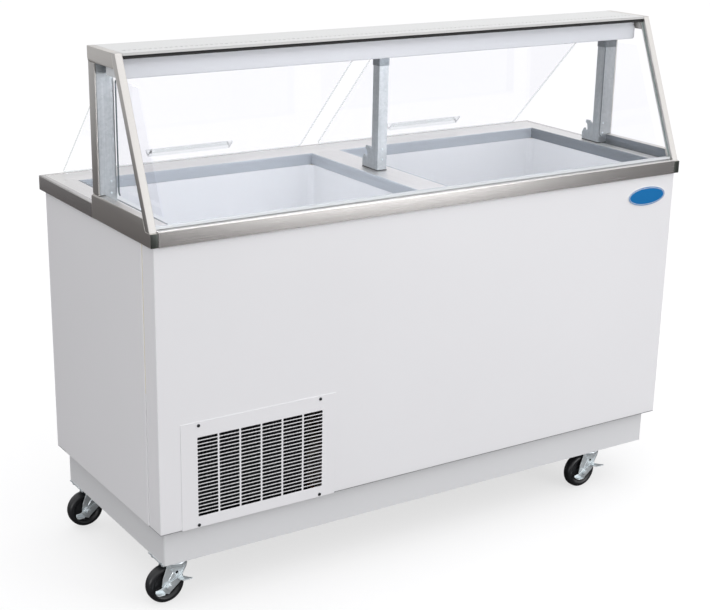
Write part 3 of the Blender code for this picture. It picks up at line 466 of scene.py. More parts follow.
# the plinth reads a step greyer and duller than the body above it
plinth_coat = powder_coat("Light grey polyester powder coat", "E3E4E5", "DDDEE0", 0.42)
dress("base_tray", plinth_coat, 0.0012, 3)

# ---- Machinery -----------------------------------------------------------------------------------------
# The condensing unit behind the vent: a finned coil, its fan in a pressed shroud, and a black enamelled
# compressor. They are bought in, bolted to the tray and seen only as dark shapes through the slots.
# enamel reads as a soft black with a low gloss, the nylon as a flatter charcoal
enamel = moulded("Black enamel on steel", "191A1C", "101112", 0.35, 0.002)
fan_plastic = moulded("Glass filled nylon, moulded", "26272A", "1C1D1F", 0.5, 0.001)
# rolled aluminium fins are given a dark grey, and read as dull lines
fins = plated("Rolled aluminium fins, dark grey", "3C3E41", "2A2C2F", 0.55, 0.02)
# drawn copper reads as warm metal, a little dull from handling
copper = plated("Drawn copper tube", "B87350", "945638", 0.34, 0.03)
for name in ("compressor", "fan_shroud", "fan_motor", "drain_pipe"):
    dress(name, enamel)
dress("fan_blade", fan_plastic)
dress("condenser_coil", fins)
for name in ("evaporator_left", "evaporator_right", "liquid_line"):
    dress(name, copper)

# ---- Wells and insulation ------------------------------------------------------------------------------
# Two tanks of smooth pale liner sheet hang in blown polyurethane foam, with their evaporator tubes behind.
# The liner is a cool white with a soft gloss and faint broad waves from the foam behind it.
# cut foam reads as dry, pale straw yellow
foam_mat = moulded("Polyurethane foam, blown in place", "E4D9B8", "D2C49C", 0.9, 0.004, depth=0.001)


def liner_sheet(name, light, dark):
    """Coated liner sheet: broad soft waves under a fine stipple."""
    made, tree, place = begin(name)
    wave = put(tree, "ShaderNodeTexNoise", {"Scale": 5.0, "Detail": 2.0, "Vector": place})  # 0.2 m waves
    tone = put(tree, "ShaderNodeMix", {0: wave.outputs["Fac"], 6: colour(light), 7: colour(dark)},
               data_type="RGBA")
    stipple = put(tree, "ShaderNodeTexNoise", {"Scale": 520.0, "Detail": 2.0, "Vector": place})
    bump = put(tree, "ShaderNodeBump", {"Strength": 0.25, "Distance": 0.004, "Height": wave.outputs["Fac"]})
    fine = put(tree, "ShaderNodeBump", {"Strength": 0.06, "Distance": 0.0003,
                                        "Height": stipple.outputs["Fac"], "Normal": bump.outputs["Normal"]})
    gloss = put(tree, "ShaderNodeMapRange", {"Value": stipple.outputs["Fac"], "To Min": 0.24, "To Max": 0.34})
    shader = put(tree, "ShaderNodeBsdfPrincipled", {"Base Color": tone.outputs[2], "IOR": 1.49,
                                                    "Roughness": gloss.outputs["Result"],
                                                    "Normal": fine.outputs["Normal"]})
    put(tree, "ShaderNodeOutputMaterial", {"Surface": shader.outputs["BSDF"]})
    return made


liner_white = liner_sheet("Coated liner sheet, formed", "F4F5F6", "EEF0F2")
for side in ("left", "right"):
    dress("foam_" + side, foam_mat)
    dress("liner_" + side, liner_white)

# ---- Body skins ----------------------------------------------------------------------------------------
# Four folded steel sheets: a front and a rear wrap that turn the corners, and a flat panel on each end with
# a fine open seam beside it. They are 1 mm sheet, folded to a small radius and powder coated white.
body_low, body_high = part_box("cabinet_shell")
SEAM_FRONT, SEAM_REAR, SEAM = -0.275, 0.272, 0.0012
WINDOW_X, WINDOW_Z = (-0.745, -0.355), (0.252, 0.478)     # opening behind each vent panel
FOLD, SHEET = 0.0026, 0.0010
CORNER_STEP = 0.0018                                      # the wraps' ends lie behind the end panels' faces
# the body reads as an even cool white with a soft sheen along its folds
white_coat = powder_coat("White polyester powder coat", "EFEFF1", "EAEAEC", 0.36)


def arc(cx, cy, r, start, turn, steps=5):
    """Arc as a list of 2-D points, from the start angle through the turn, in degrees."""
    return [(cx + r * math.cos(math.radians(start + turn * i / steps)),
             cy + r * math.sin(math.radians(start + turn * i / steps))) for i in range(steps + 1)]


def sheet_wall(name, path, z0, z1, hole=None, stands_for=()):
    """Folded sheet that follows a plan path with its outer face on the right, and turns in at its foot."""
    bm = bmesh.new()
    foot = [(0.011, z0 + SHEET), (0.002, z0), (0.0006, z0 + 0.0006), (0.0, z0 + 0.0022)]
    rows = foot + ([(0.0, z) for z in WINDOW_Z] if hole else []) + [(0.0, z1)]
    grids = []
    for depth in (0.0, SHEET):
        grids.append([[bm.verts.new((p.x, p.y, z + (depth if i < 2 else 0.0)))
                       for p in moved(path, inward + depth, closed=False)]
                      for i, (inward, z) in enumerate(rows)])

    def solid(i, j):
        """True where the sheet has a cell, false past its edges and in its window."""
        if not (0 <= i < len(rows) - 1 and 0 <= j < len(path) - 1):
            return False
        if not hole or rows[i] != (0.0, WINDOW_Z[0]):
            return True
        return not {path[j][0], path[j + 1][0]} == set(hole)

    outer, inner = grids
    for i in range(len(rows) - 1):
        for j in range(len(path) - 1):
            if not solid(i, j):
                continue
            bm.faces.new((outer[i][j], outer[i][j + 1], outer[i + 1][j + 1], outer[i + 1][j]))
            bm.faces.new((inner[i][j], inner[i + 1][j], inner[i + 1][j + 1], inner[i][j + 1]))
            for di, dj, p, q in ((-1, 0, (i, j), (i, j + 1)), (1, 0, (i + 1, j + 1), (i + 1, j)),
                                 (0, -1, (i + 1, j), (i, j)), (0, 1, (i, j + 1), (i + 1, j + 1))):
                if not solid(i + di, j + dj):
                    bm.faces.new((outer[q[0]][q[1]], outer[p[0]][p[1]], inner[p[0]][p[1]], inner[q[0]][q[1]]))
    return piece(name, bm, white_coat, "cabinet", stands_for, 40)


bx, by0, by1 = body_high[0], body_low[1], body_high[1]
z0, z1 = body_low[2] + 0.0022, body_high[2]
small, wrap_x = 0.0022, bx - CORNER_STEP
front_path = ([(-bx + 0.007, SEAM_FRONT - SEAM / 2)]
              + arc(-wrap_x + small, SEAM_FRONT - SEAM / 2 - small, small, 90, 90, 3)
              + arc(-wrap_x + FOLD, by0 + FOLD, FOLD, 180, 90)
              + [(WINDOW_X[0], by0), (WINDOW_X[1], by0)]
              + arc(wrap_x - FOLD, by0 + FOLD, FOLD, 270, 90)
              + arc(wrap_x - small, SEAM_FRONT - SEAM / 2 - small, small, 0, 90, 3)
              + [(bx - 0.007, SEAM_FRONT - SEAM / 2)])
rear_path = ([(bx - 0.007, SEAM_REAR + SEAM / 2)]
             + arc(wrap_x - small, SEAM_REAR + SEAM / 2 + small, small, 270, 90, 3)
             + arc(wrap_x - FOLD, by1 - FOLD, FOLD, 0, 90)
             + [(WINDOW_X[1], by1), (WINDOW_X[0], by1)]
             + arc(-wrap_x + FOLD, by1 - FOLD, FOLD, 90, 90)
             + arc(-wrap_x + small, SEAM_REAR + SEAM / 2 + small, small, 180, 90, 3)
             + [(-bx + 0.007, SEAM_REAR + SEAM / 2)])
sheet_wall("front_wrap_panel", front_path, z0, z1, WINDOW_X, ["cabinet_shell"])
sheet_wall("rear_wrap_panel", rear_path, z0, z1, (WINDOW_X[1], WINDOW_X[0]), ["cabinet_shell"])
for label, s in (("left", -1), ("right", 1)):
    ends = (SEAM_REAR - SEAM / 2, SEAM_FRONT + SEAM / 2)
    if s > 0:
        ends = ends[::-1]
    step = small if s > 0 else -small
    start = 270 if s > 0 else 90
    path = ([(s * (bx - 0.007), ends[0])] + arc(s * (bx - small), ends[0] + step, small, start, 90, 3)
            + arc(s * (bx - small), ends[1] - step, small, start + 90, 90, 3) + [(s * (bx - 0.007), ends[1])])
    sheet_wall("end_panel_" + label, path, z0, z1, None, ["cabinet_shell"])
# the foam tape under the body is a grey strip painted as the shadow line in its gap; dark closing strips
# stand behind the open seams
tape_painted_shadow = moulded("Grey foam tape standing in for painted shadow", "96979A", "8A8B8E", 0.8, 0.0015)
bm = bmesh.new()
tape_x, tape_y0, tape_y1 = wrap_x - 0.0008, by0 + 0.0008, by1 - 0.0008
slab(bm, [rectangle(-tape_x, tape_x, tape_y0, tape_y1), rectangle(-0.822, 0.822, -0.319, 0.310)], "xy",
     body_low[2] + 0.0002, z0 + 0.0004)
piece("body_tape_painted_shadow_line", bm, tape_painted_shadow, "cabinet", ["cabinet_shell"])
bm = bmesh.new()
for s in (-1, 1):
    for y in (SEAM_FRONT, SEAM_REAR):
        a, b = sorted((s * (bx - 0.0085), s * (bx - 0.0075)))
        slab(bm, [rectangle(y - 0.012, y + 0.012, z0 + 0.004, z1)], "yz", a, b)
piece("seam_backing_strips", bm, enamel, "cabinet", ["cabinet_shell"])

# ---- Vents ---------------------------------------------------------------------------------------------
# Thin steel covers punched with rows of long slots, powder coated like the body, each held by four
# blackened cross-head screws. The front one breathes in over the coil; the rear one lets the warm air out.


def cross_screw(bm, centre, out, radius):
    """Pan-head screw with a cross recess, its head rising along out."""
    out = Vector(out).normalized()
    side = out.orthogonal().normalized()
    other = out.cross(side)
    steps = 32

    def ring(r, h, star=False):
        """Loop round the head, a circle or the cross of the recess."""
        loop = []
        for i in range(steps):
            a = 2 * math.pi * i / steps
            near = abs(math.sin(2 * (a + math.pi / 4)))
            rr = r * (0.34 + 0.66 * max(0.0, (near - 0.55) / 0.45)) if star else r
            loop.append(Vector(centre) + out * h + (side * math.cos(a) + other * math.sin(a)) * rr)
        return loop

    skin(bm, [ring(radius, -0.0004), ring(radius, radius * 0.18), ring(radius * 0.92, radius * 0.38),
              ring(radius * 0.70, radius * 0.52), ring(radius * 0.62, radius * 0.55, True),
              ring(radius * 0.48, radius * 0.16, True), ring(radius * 0.05, radius * 0.12)])


def vent(name, node, cols, rows, bar_x, bar_z, faces, screws, stands_for):
    """Punched cover over a window: thin face with rounded slots, and a folded rim against the body."""
    low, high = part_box(node)
    x0, x1, y_face, y_back = low[0], high[0], faces[0], faces[1]
    slots_x, slots_z = (-0.7335, -0.3660), (0.2580, 0.4740)
    pitch_x = (slots_x[1] - slots_x[0] + bar_x) / cols
    pitch_z = (slots_z[1] - slots_z[0] + bar_z) / rows
    outline = rounded(x0, x1, low[2], high[2], 0.0020, 3)
    holes = []
    for i in range(cols):
        for k in range(rows):
            sx, sz = slots_x[0] + i * pitch_x, slots_z[0] + k * pitch_z
            holes.append(rounded(sx, sx + pitch_x - bar_x, sz, sz + pitch_z - bar_z,
                                 min(0.0016, (pitch_z - bar_z) * 0.3), 2))
    bm = bmesh.new()
    inward = 1 if y_back > y_face else -1
    a, b = sorted((y_face, y_face + inward * SHEET))
    slab(bm, [outline] + holes, "xz", a, b, 0.0003)
    a, b = sorted((y_face + inward * SHEET, y_back))
    rim = 0.0012
    inside = rounded(x0 + rim, x1 - rim, low[2] + rim, high[2] - rim, 0.0012, 3)
    slab(bm, [outline, inside], "xz", a, b, 0.0001)
    piece(name, bm, white_coat, "cabinet", stands_for, 40)
    bm = bmesh.new()
    for sx, sz in screws:
        cross_screw(bm, (sx, y_face, sz), (0, -inward, 0), 0.0044)
    piece(name + "_screws", bm, dark_steel)


vent_low, vent_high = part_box("vent_panel")
vent("slotted_vent_cover", "vent_panel", 6, 22, 0.0048, 0.0023, (vent_low[1] + 0.0010, vent_high[1]),
     ((-0.730, 0.5060), (-0.373, 0.5070), (-0.732, 0.2340), (-0.373, 0.2345)), ["vent_panel"])
rear_low, rear_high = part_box("rear_vent_panel")
vent("rear_vent_cover", "rear_vent_panel", 3, 10, 0.0120, 0.0120, (rear_high[1] - 0.0010, rear_low[1]),
     ((-0.768, 0.500), (-0.338, 0.500), (-0.768, 0.244), (-0.338, 0.244)), ["rear_vent_panel"])

# ---- Badge ---------------------------------------------------------------------------------------------
# A plain oval plate with no lettering, blue enamel with a fine white line inside a slim white rim. It is
# stuck to the front panel, high on the right.
badge_low, badge_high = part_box("badge")
badge_x, badge_z = (badge_low[0] + badge_high[0]) / 2, (badge_low[2] + badge_high[2]) / 2
badge_rx, badge_rz = (badge_high[0] - badge_low[0]) / 2, (badge_high[2] - badge_low[2]) / 2


def oval(inset, y):
    """The badge's outline, drawn in by the inset."""
    return [(badge_x + (badge_rx - inset) * math.cos(2 * math.pi * i / 72), y,
             badge_z + (badge_rz - inset) * math.sin(2 * math.pi * i / 72)) for i in range(72)]


# fired enamel reads as a deep glossy blue; the line and rim as clean glossy white
badge_blue = moulded("Blue vitreous enamel, domed", "1B76B6", "176CAA", 0.16, 0.003)
badge_white = moulded("White enamel line", "F2F5F7", "E9EDF0", 0.2, 0.003)
face = badge_low[1]
skin_levels = [(0.0, badge_high[1]), (0.0, face + 0.0010), (0.0004, face + 0.0005), (0.0010, face + 0.0005)]
bm = skin(bmesh.new(), [oval(inset, y) for inset, y in skin_levels + [(0.0012, badge_high[1])]])
piece("badge_rim", bm, badge_white, "cabinet", ["badge"])
bm = skin(bmesh.new(), [oval(0.0010, badge_high[1]), oval(0.0010, face + 0.0007), oval(0.0060, face + 0.0004),
                        oval(0.0140, face + 0.0002), oval(0.0240, face + 0.0001)])
piece("badge_plate", bm, badge_blue, "cabinet", ["badge"])
bm = skin(bmesh.new(), [oval(0.0036, face + 0.0008), oval(0.0036, face + 0.00035),
                        oval(0.0048, face + 0.00025), oval(0.0048, face + 0.0008)], closed=True)
piece("badge_line", bm, badge_white, "cabinet", ["badge"])

# ---- Counter -------------------------------------------------------------------------------------------
# A pressed stainless rim: a 40 mm face with a rolled top edge and a flat flange, and inside it the top with
# a raised bead round each well. The grain runs along the counter; the wells are edged in grey PVC strip.
counter_low, counter_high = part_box("counter_band")
CX, CY0, CY1 = counter_high[0], counter_low[1], counter_high[1]
CZ0, CZ1 = counter_low[2], counter_high[2]
GAP, FRAME_T, PLATE_REAR = 0.0003, 0.020, -0.0070
WELL_X, WELL_Y = (0.0525, 0.775), (-0.300, 0.235)


def brushed(name, light, dark, stretch, rough):
    """Stainless sheet ground with a belt: fine hairlines along one direction that spread each highlight."""
    made, tree, place = begin(name)
    run = put(tree, "ShaderNodeMapping", {"Vector": place, "Scale": stretch})
    hair = put(tree, "ShaderNodeTexNoise", {"Scale": 1.0, "Detail": 4.0, "Vector": run.outputs["Vector"]})
    tone = put(tree, "ShaderNodeMix", {0: hair.outputs["Fac"], 6: colour(light), 7: colour(dark)},
               data_type="RGBA")
    gloss = put(tree, "ShaderNodeMapRange", {"Value": hair.outputs["Fac"], "To Min": rough - 0.02,
                                             "To Max": rough + 0.03})
    bump = put(tree, "ShaderNodeBump", {"Strength": 0.02, "Distance": 0.0001, "Height": hair.outputs["Fac"]})
    shader = put(tree, "ShaderNodeBsdfPrincipled", {
        "Base Color": tone.outputs[2], "Metallic": 1.0, "Roughness": gloss.outputs["Result"],
        "Normal": bump.outputs["Normal"]})
    put(tree, "ShaderNodeOutputMaterial", {"Surface": shader.outputs["BSDF"]})
    return made


# hairlines 1.4 mm apart across the grain, drawn coarser than real so that they show
steel_x = brushed("Brushed stainless, grain along the counter", "CDCBC9", "C2C0BE", (5.0, 700.0, 700.0), 0.26)


def counter_outline(inset):
    """Counter plan: the front part is narrower, to fit between the end frames."""
    x_in, x_out, step = CX - FRAME_T - GAP - inset, CX - inset, PLATE_REAR + GAP + inset
    y0, y1 = CY0 + inset, CY1 - inset
    return [(-x_in, y0), (x_in, y0), (x_in, step), (x_out, step), (x_out, y1), (-x_out, y1), (-x_out, step),
            (-x_in, step)]


def ring_of(outline, levels):
    """Loops of an outline drawn in and set at a height, one for each level."""
    return [[(x, y, z) for x, y in outline(inset)] for inset, z in levels]


roll = 0.0032                        # radius of the rolled top edge
levels = [(0.0014, CZ0 + 0.0006), (0.0007, CZ0), (0.0, CZ0 + 0.0007)]
levels += [(roll - roll * math.cos(a), CZ1 - roll + roll * math.sin(a)) for a in
           [math.radians(90 * i / 5) for i in range(6)]]
levels += [(0.0135, CZ1), (0.0140, CZ1 - 0.0004), (0.0140, CZ1 - 0.0014), (0.0014, CZ1 - 0.0040)]
bm = skin(bmesh.new(), ring_of(counter_outline, levels), closed=True)
piece("counter_edge_trim", bm, steel_x, "cabinet", ["counter_band"], 60)


def well_plan(side, grow):
    """Plan of one well (side -1 is left), grown outwards."""
    x = sorted((side * (WELL_X[0] - grow), side * (WELL_X[1] + grow)))
    return x[0], x[1], WELL_Y[0] - grow, WELL_Y[1] + grow


# the top is painted lighter than its face, painted light for the lamp and the light from above; it is a
# softer satin too
counter_steel_painted_light = brushed("Stainless top sheet, painted lighter as light from above", "EDECEA", "DAD9D7", (5.0, 500.0, 500.0), 0.34)
bm = bmesh.new()
slab(bm, [counter_outline(0.0145)] + [rectangle(*well_plan(s, 0.0063)) for s in (-1, 1)], "xy",
     CZ1 - 0.0020, CZ1 - 0.0006, 0.0006)
piece("counter_top_sheet", bm, counter_steel_painted_light, "cabinet", ["counter_top"], 60)
# raised beads in the top, a long one round both wells and the ridge down the divider
bm = bmesh.new()
outer = (-WELL_X[1] - 0.0140, WELL_X[1] + 0.0140, WELL_Y[0] - 0.0150, WELL_Y[1] + 0.0140)
bead = [(0.0, CZ1 - 0.0008), (0.0012, CZ1 - 0.0001), (0.0030, CZ1), (0.0048, CZ1 - 0.0001),
        (0.0060, CZ1 - 0.0008)]
for grow in (0.0, 0.0170):
    x0, x1, y0, y1 = outer[0] - grow, outer[1] + grow, outer[2], outer[3] + grow
    skin(bm, [[(x, y, z) for x, y in rounded(x0 - o, x1 + o, y0, y1 + o, 0.006 + o, 4)] for o, z in bead],
         closed=True)
for x in (-0.0170, 0.0110):
    skin(bm, [[(x + o, y, z) for o, z in bead] for y in (WELL_Y[0] - 0.004, WELL_Y[1] + 0.024)])
piece("counter_beads", bm, counter_steel_painted_light, "cabinet", ["counter_top"], 60)

# PVC strip reads as a cool mid grey line round each well; the outer end strips are painted a good deal
# darker, as painted shade
breaker_pvc = moulded("Grey PVC strip, extruded", "BAC0C7", "B0B7BE", 0.34, 0.0012)
end_pvc_painted_shade = moulded("Grey PVC end strip, painted darker as shade", "7F868D", "757C83", 0.34, 0.0012)


def mitred_strip(bm, x0, x1, y0, y1, profile, bars, gap=0.0002):
    """Chosen bars round a rectangle, cut at 45 degrees where they meet; the profile is (outwards, height)."""
    every = ((True, y0, -1, x0, x1), (True, y1, 1, x0, x1), (False, x0, -1, y0, y1), (False, x1, 1, y0, y1))
    for horizontal, edge, out, a, b in [every[i] for i in bars]:
        loops = []
        for end, sign in ((a, -1), (b, 1)):
            loop = []
            for o, z in profile:
                along = end + sign * (o - gap)
                loop.append((along, edge + out * o, z) if horizontal else (edge + out * o, along, z))
            loops.append(loop)
        skin(bm, loops)


for side, label in ((-1, "left"), (1, "right")):
    low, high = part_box("breaker_" + label)
    base, top = low[2], high[2]
    profile = [(0.0, base + 0.0010), (0.0006, base), (0.0050, base), (0.0056, base + 0.0010),
               (0.0058, top - 0.0004), (0.0052, top + 0.0001), (0.0022, top + 0.0001), (0.0008, top - 0.0005),
               (0.0002, top - 0.0020), (0.0002, top - 0.0125), (0.0009, top - 0.0132), (0.0009, top - 0.0146),
               (0.0002, top - 0.0153)]
    end_bar = 2 if side < 0 else 3
    for name, pvc_colour, bars in (("breaker_strip_", breaker_pvc, [i for i in range(4) if i != end_bar]),
                              ("breaker_end_strip_", end_pvc_painted_shade, [end_bar])):
        bm = bmesh.new()
        mitred_strip(bm, *well_plan(side, 0.0), profile, bars)
        piece(name + label, bm, pvc_colour, "cabinet", ["breaker_" + label], 60)

# ---- End frames ----------------------------------------------------------------------------------------
# Each end of the guard is a welded brushed stainless frame: a deep foot over the counter edge and a sloped
# stile in 20 mm box section, a thin upright plate and a top block. A dark steel sheet inside the foot is
# painted shade on its inner face, and its front corner has a cap, painted dark as shade, and a screw.
frame_low, frame_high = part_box("end_frame_left")
TOP = frame_high[2]
GUARD_TOP_Y, GUARD_FOOT_Y, GUARD_FOOT_Z = -0.1770, -0.3425, 1.0135
SLOPE = (GUARD_TOP_Y - GUARD_FOOT_Y) / (TOP - GUARD_FOOT_Z)
STILE = 0.0235                       # depth of the sloped stile, measured level
RAIL_Z, SILL_Z = 1.3740, 1.0435      # underside of the top block, and top of the foot
UPRIGHT_T = 0.0045


def stile_y(z):
    """Front line of the sloped stile at height z."""
    return GUARD_TOP_Y - (TOP - z) * SLOPE


# ground steel reads pale and soft on the foot and stile; the upright is painted a little darker, as painted
# shade where it is seen edge on
frame_steel = brushed("Brushed stainless box section", "D8D5D0", "D2CFCA", (400.0, 6.0, 400.0), 0.29)
stile_steel = brushed("Brushed stainless stile", "D8D6D2", "CCC9C5", (500.0, 500.0, 6.0), 0.30)
upright_steel_painted_shade = brushed("Brushed stainless upright", "CBC9C5", "BDBBB8", (500.0, 500.0, 6.0), 0.30)
# the foot's inner sheet is given a dark steel colour that is painted shade
foot_lining_painted_shade = brushed("Dark steel sheet inside the foot, painted shade", "7D858C", "6F767D", (500.0, 6.0, 500.0),
                       0.32)
# the corner cap is painted dark: painted shade of the foot's open end between its flanges
cap_painted_shade = brushed("Stainless end cap painted dark as shade", "6A6E6A", "3E423E", (60.0, 60.0, 8.0), 0.34)
joint = 0.0003                       # fine line left at each weld
for side, label in ((-1, "left"), (1, "right")):
    a, b = sorted((side * (CX - FRAME_T), side * CX))
    z_foot = frame_low[2]
    foot = [(-CY1 + 0.0012, z_foot), (PLATE_REAR, z_foot), (PLATE_REAR, 1.0360), (-0.0180, 1.0432),
            (stile_y(SILL_Z) + STILE + joint, SILL_Z - joint),
            (stile_y(GUARD_FOOT_Z) + STILE, GUARD_FOOT_Z + 0.0002), (-CY1 + 0.0012, GUARD_FOOT_Z)]
    bm = bmesh.new()
    slab(bm, [foot], "yz", a, b, 0.0010)
    block = [(-0.0430 + 0.0295, 1.3830), (-0.0180, RAIL_Z), (stile_y(RAIL_Z) + STILE + joint, RAIL_Z),
             (stile_y(TOP - 0.0012) + STILE + joint, TOP), (-0.0135, TOP)]
    slab(bm, [block], "yz", a, b, 0.0010)
    piece("guard_frame_" + label, bm, frame_steel, "cabinet", ["end_frame_" + label])
    bm = slab(bmesh.new(), [rectangle(-0.0532, -0.0180, SILL_Z + joint, RAIL_Z - joint)], "yz",
              *sorted((side * (CX - UPRIGHT_T), side * CX)), 0.0010)
    piece("guard_upright_" + label, bm, upright_steel_painted_shade, "cabinet", ["end_frame_" + label])
    lining = [(stile_y(GUARD_FOOT_Z) + STILE + 0.0020, GUARD_FOOT_Z + 0.0010),
              (-0.0195, GUARD_FOOT_Z + 0.0010), (-0.0195, SILL_Z - 0.0012),
              (stile_y(SILL_Z) + STILE + 0.0020, SILL_Z - 0.0012)]
    near, far = sorted((side * (CX - FRAME_T - 0.0001), side * (CX - FRAME_T - 0.0009)))
    bm = slab(bmesh.new(), [lining], "yz", near, far, 0.0003)
    piece("guard_foot_shade_sheet_" + label, bm, foot_lining_painted_shade, "cabinet", ())
    bm = bmesh.new()
    stile = [(GUARD_FOOT_Y + 0.0004, GUARD_FOOT_Z + joint),
             (stile_y(GUARD_FOOT_Z) + STILE - joint, GUARD_FOOT_Z + joint),
             (stile_y(TOP) + STILE - joint, TOP), (GUARD_TOP_Y + 0.0010, TOP), (GUARD_TOP_Y, TOP - 0.0020)]
    slab(bm, [stile], "yz", a, b, 0.0016)
    piece("guard_stile_" + label, bm, stile_steel, "cabinet", ["end_frame_" + label])
    bm = bmesh.new()
    slab(bm, [rectangle(a + 0.0004, b - 0.0004, z_foot + 0.0004, GUARD_FOOT_Z - 0.0004)], "xz",
         -CY1, -CY1 + 0.0030, 0.0008)
    piece("guard_corner_cap_" + label, bm, cap_painted_shade, "cabinet", ["end_frame_" + label])
    bm = bmesh.new()
    slab(bm, [circle((a + b) / 2, z_foot + 0.0075, 0.0030)], "xz", -CY1 + 0.0002, -CY1 + 0.0020, 0.0004)
    near, far = sorted((side * (CX - FRAME_T - 0.0012), side * (CX - FRAME_T + 0.0010)))
    for y in (-0.070, -0.210):
        slab(bm, [circle(y, z_foot + 0.0180, 0.0035)], "yz", near, far, 0.0004)
    piece("guard_frame_screws_" + label, bm, dark_steel)

# ---- Canopy --------------------------------------------------------------------------------------------
# A folded steel cover over the light, powder coated pale grey, with a row of small slots near its front
# edge that lets the lamp's heat out. Four ears at the rear carry the lids' hinge rods.
CAN_Y0, CAN_Y1, CAN_X = -0.1765, -0.0135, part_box("canopy")[1][0]
# the canopy reads as a flat pale grey, a shade darker than the body
canopy_coat = powder_coat("Pale grey powder coat", "D4D4D2", "CECFCE", 0.40)
bm = bmesh.new()
slots = []
count, pitch = 118, 0.0138
for i in range(count):
    x = (i - (count - 1) / 2) * pitch
    slots.append(rounded(x - 0.0040, x + 0.0040, -0.1400, -0.1330, 0.0015, 2))
slab(bm, [rectangle(-CAN_X, CAN_X, CAN_Y0, CAN_Y1)] + slots, "xy", TOP - 0.0016, TOP, 0.0003)
slab(bm, [[(CAN_Y0 + 0.0003, 1.4048), (-0.1580, 1.4048), (-0.1560, 1.4094), (CAN_Y0 + 0.0003, 1.4100)]], "yz",
     -CAN_X, CAN_X, 0.0008)
slab(bm, [rectangle(CAN_Y1 - 0.0016, CAN_Y1, 1.3720, TOP - 0.0006)], "yz", -CAN_X, CAN_X, 0.0004)
piece("canopy_cover", bm, canopy_coat, "cabinet", ["canopy"], 40)
# the black sheet under the slot row is painted shade, so that the slots read dark
bm = slab(bmesh.new(), [rectangle(-CAN_X + 0.004, CAN_X - 0.004, -0.1450, -0.1280)], "xy",
          TOP - 0.0032, TOP - 0.0022)
piece("canopy_slot_shade_sheet", bm, enamel, "cabinet", ["canopy"])
bm = bmesh.new()
HINGE_Y, HINGE_Z = -0.0060, 1.3790
ear = [(CAN_Y1 - 0.0010, 1.3700), (HINGE_Y, 1.3700), (HINGE_Y + 0.0075, 1.3730), (HINGE_Y + 0.0082, HINGE_Z),
       (HINGE_Y + 0.0070, 1.3850), (HINGE_Y, 1.3885), (CAN_Y1 - 0.0010, 1.3885)]
for x0, x1 in ((-0.800, -0.790), (-0.016, -0.004), (0.004, 0.016), (0.790, 0.800)):
    slab(bm, [ear, circle(HINGE_Y, HINGE_Z, 0.0033, 20)], "yz", x0, x1, 0.0006)
piece("canopy_hinge_ears", bm, zinc, "cabinet", ["canopy"], 40)
for side in ("left", "right"):
    dress("hinge_rod_" + side, zinc)

# ---- Posts ---------------------------------------------------------------------------------------------
# Three folded galvanised channels carry the canopy. Each has a hooked plate behind its foot and a thin black
# pad under it; the centre and right ones have a clamp under the light, painted dark as shade, and the end
# ones a side flange.


def galvanised_sheet(name, light, dark, rough):
    """Hot-dip galvanised sheet: 6 mm spangle, and draw lines along the folded channel."""
    made, tree, place = begin(name)
    grain = put(tree, "ShaderNodeTexVoronoi", {"Scale": 160.0, "Vector": place})
    drawn = put(tree, "ShaderNodeMapping", {"Vector": place, "Scale": (260.0, 260.0, 5.0)})
    line = put(tree, "ShaderNodeTexNoise", {"Scale": 1.0, "Detail": 4.0, "Vector": drawn.outputs["Vector"]})
    spot = put(tree, "ShaderNodeSeparateColor", {"Color": grain.outputs["Color"]})
    blend = put(tree, "ShaderNodeMix", {0: 0.72, 2: spot.outputs["Red"], 3: line.outputs["Fac"]})
    tone = put(tree, "ShaderNodeMix", {0: blend.outputs[0], 6: colour(light), 7: colour(dark)},
               data_type="RGBA")
    gloss = put(tree, "ShaderNodeMapRange", {"Value": blend.outputs[0], "To Min": rough - 0.10,
                                             "To Max": rough + 0.10})
    bump = put(tree, "ShaderNodeBump", {"Strength": 0.12, "Distance": 0.0003, "Height": line.outputs["Fac"]})
    shader = put(tree, "ShaderNodeBsdfPrincipled", {"Base Color": tone.outputs[2], "Metallic": 1.0,
                                                    "Roughness": gloss.outputs["Result"],
                                                    "Normal": bump.outputs["Normal"]})
    put(tree, "ShaderNodeOutputMaterial", {"Surface": shader.outputs["BSDF"]})
    return made


# galvanised sheet reads as a mottled cool grey; the clamps are painted darker as shade under the light, and
# rubber is a flat black
galvanised = galvanised_sheet("Galvanised steel channel", "C6CACC", "A2A8AB", 0.46)
clamp_painted_shade = galvanised_sheet("Galvanised clamp painted dark as shade", "8A9094", "5E6468", 0.40)
rubber = moulded("Black rubber, extruded", "0E0E0F", "090909", 0.55, 0.002)
for label in ("left", "centre", "right"):
    low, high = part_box("post_" + label)
    dress("post_" + label, galvanised, 0.0007)
    x0, x1, y0, y1 = low[0], high[0], low[1], -0.0225
    if label != "left":
        x_out = x1 if label == "centre" else CX - UPRIGHT_T - 0.0016
        bm = bmesh.new()
        ring = [rectangle(x0 - 0.0011, x_out + 0.0011, y0 - 0.0011, y1 + 0.0012),
                rectangle(x0, x_out, y0, y1)]
        slab(bm, ring, "xy", 1.3080, 1.3446, 0.0003)
        piece("post_clamp_" + label, bm, clamp_painted_shade, "cabinet", ())
    bm = bmesh.new()
    slab(bm, [rectangle(x0 - 0.0012, x1 + 0.0012, y0 - 0.0016, 0.0215)], "xy",
         low[2] - 0.0006, low[2] + 0.0016, 0.0005)
    piece("post_foot_pad_" + label, bm, rubber)
    bm = bmesh.new()
    for z in (0.030, 0.060):
        cross_screw(bm, ((x0 + x1) / 2, y0 + 0.0002, low[2] + z), (0, -1, 0), 0.0030)
    piece("post_screws_" + label, bm, zinc)
    if label != "centre":
        side = -1 if label == "left" else 1
        bm = bmesh.new()
        slab(bm, [rectangle(y0 - 0.0003, y1, SILL_Z + 0.0010, RAIL_Z - 0.0010)], "yz",
             *sorted((side * 0.8285, side * (CX - UPRIGHT_T - 0.0003))), 0.0004)
        piece("post_flange_" + label, bm, galvanised, "cabinet", ())

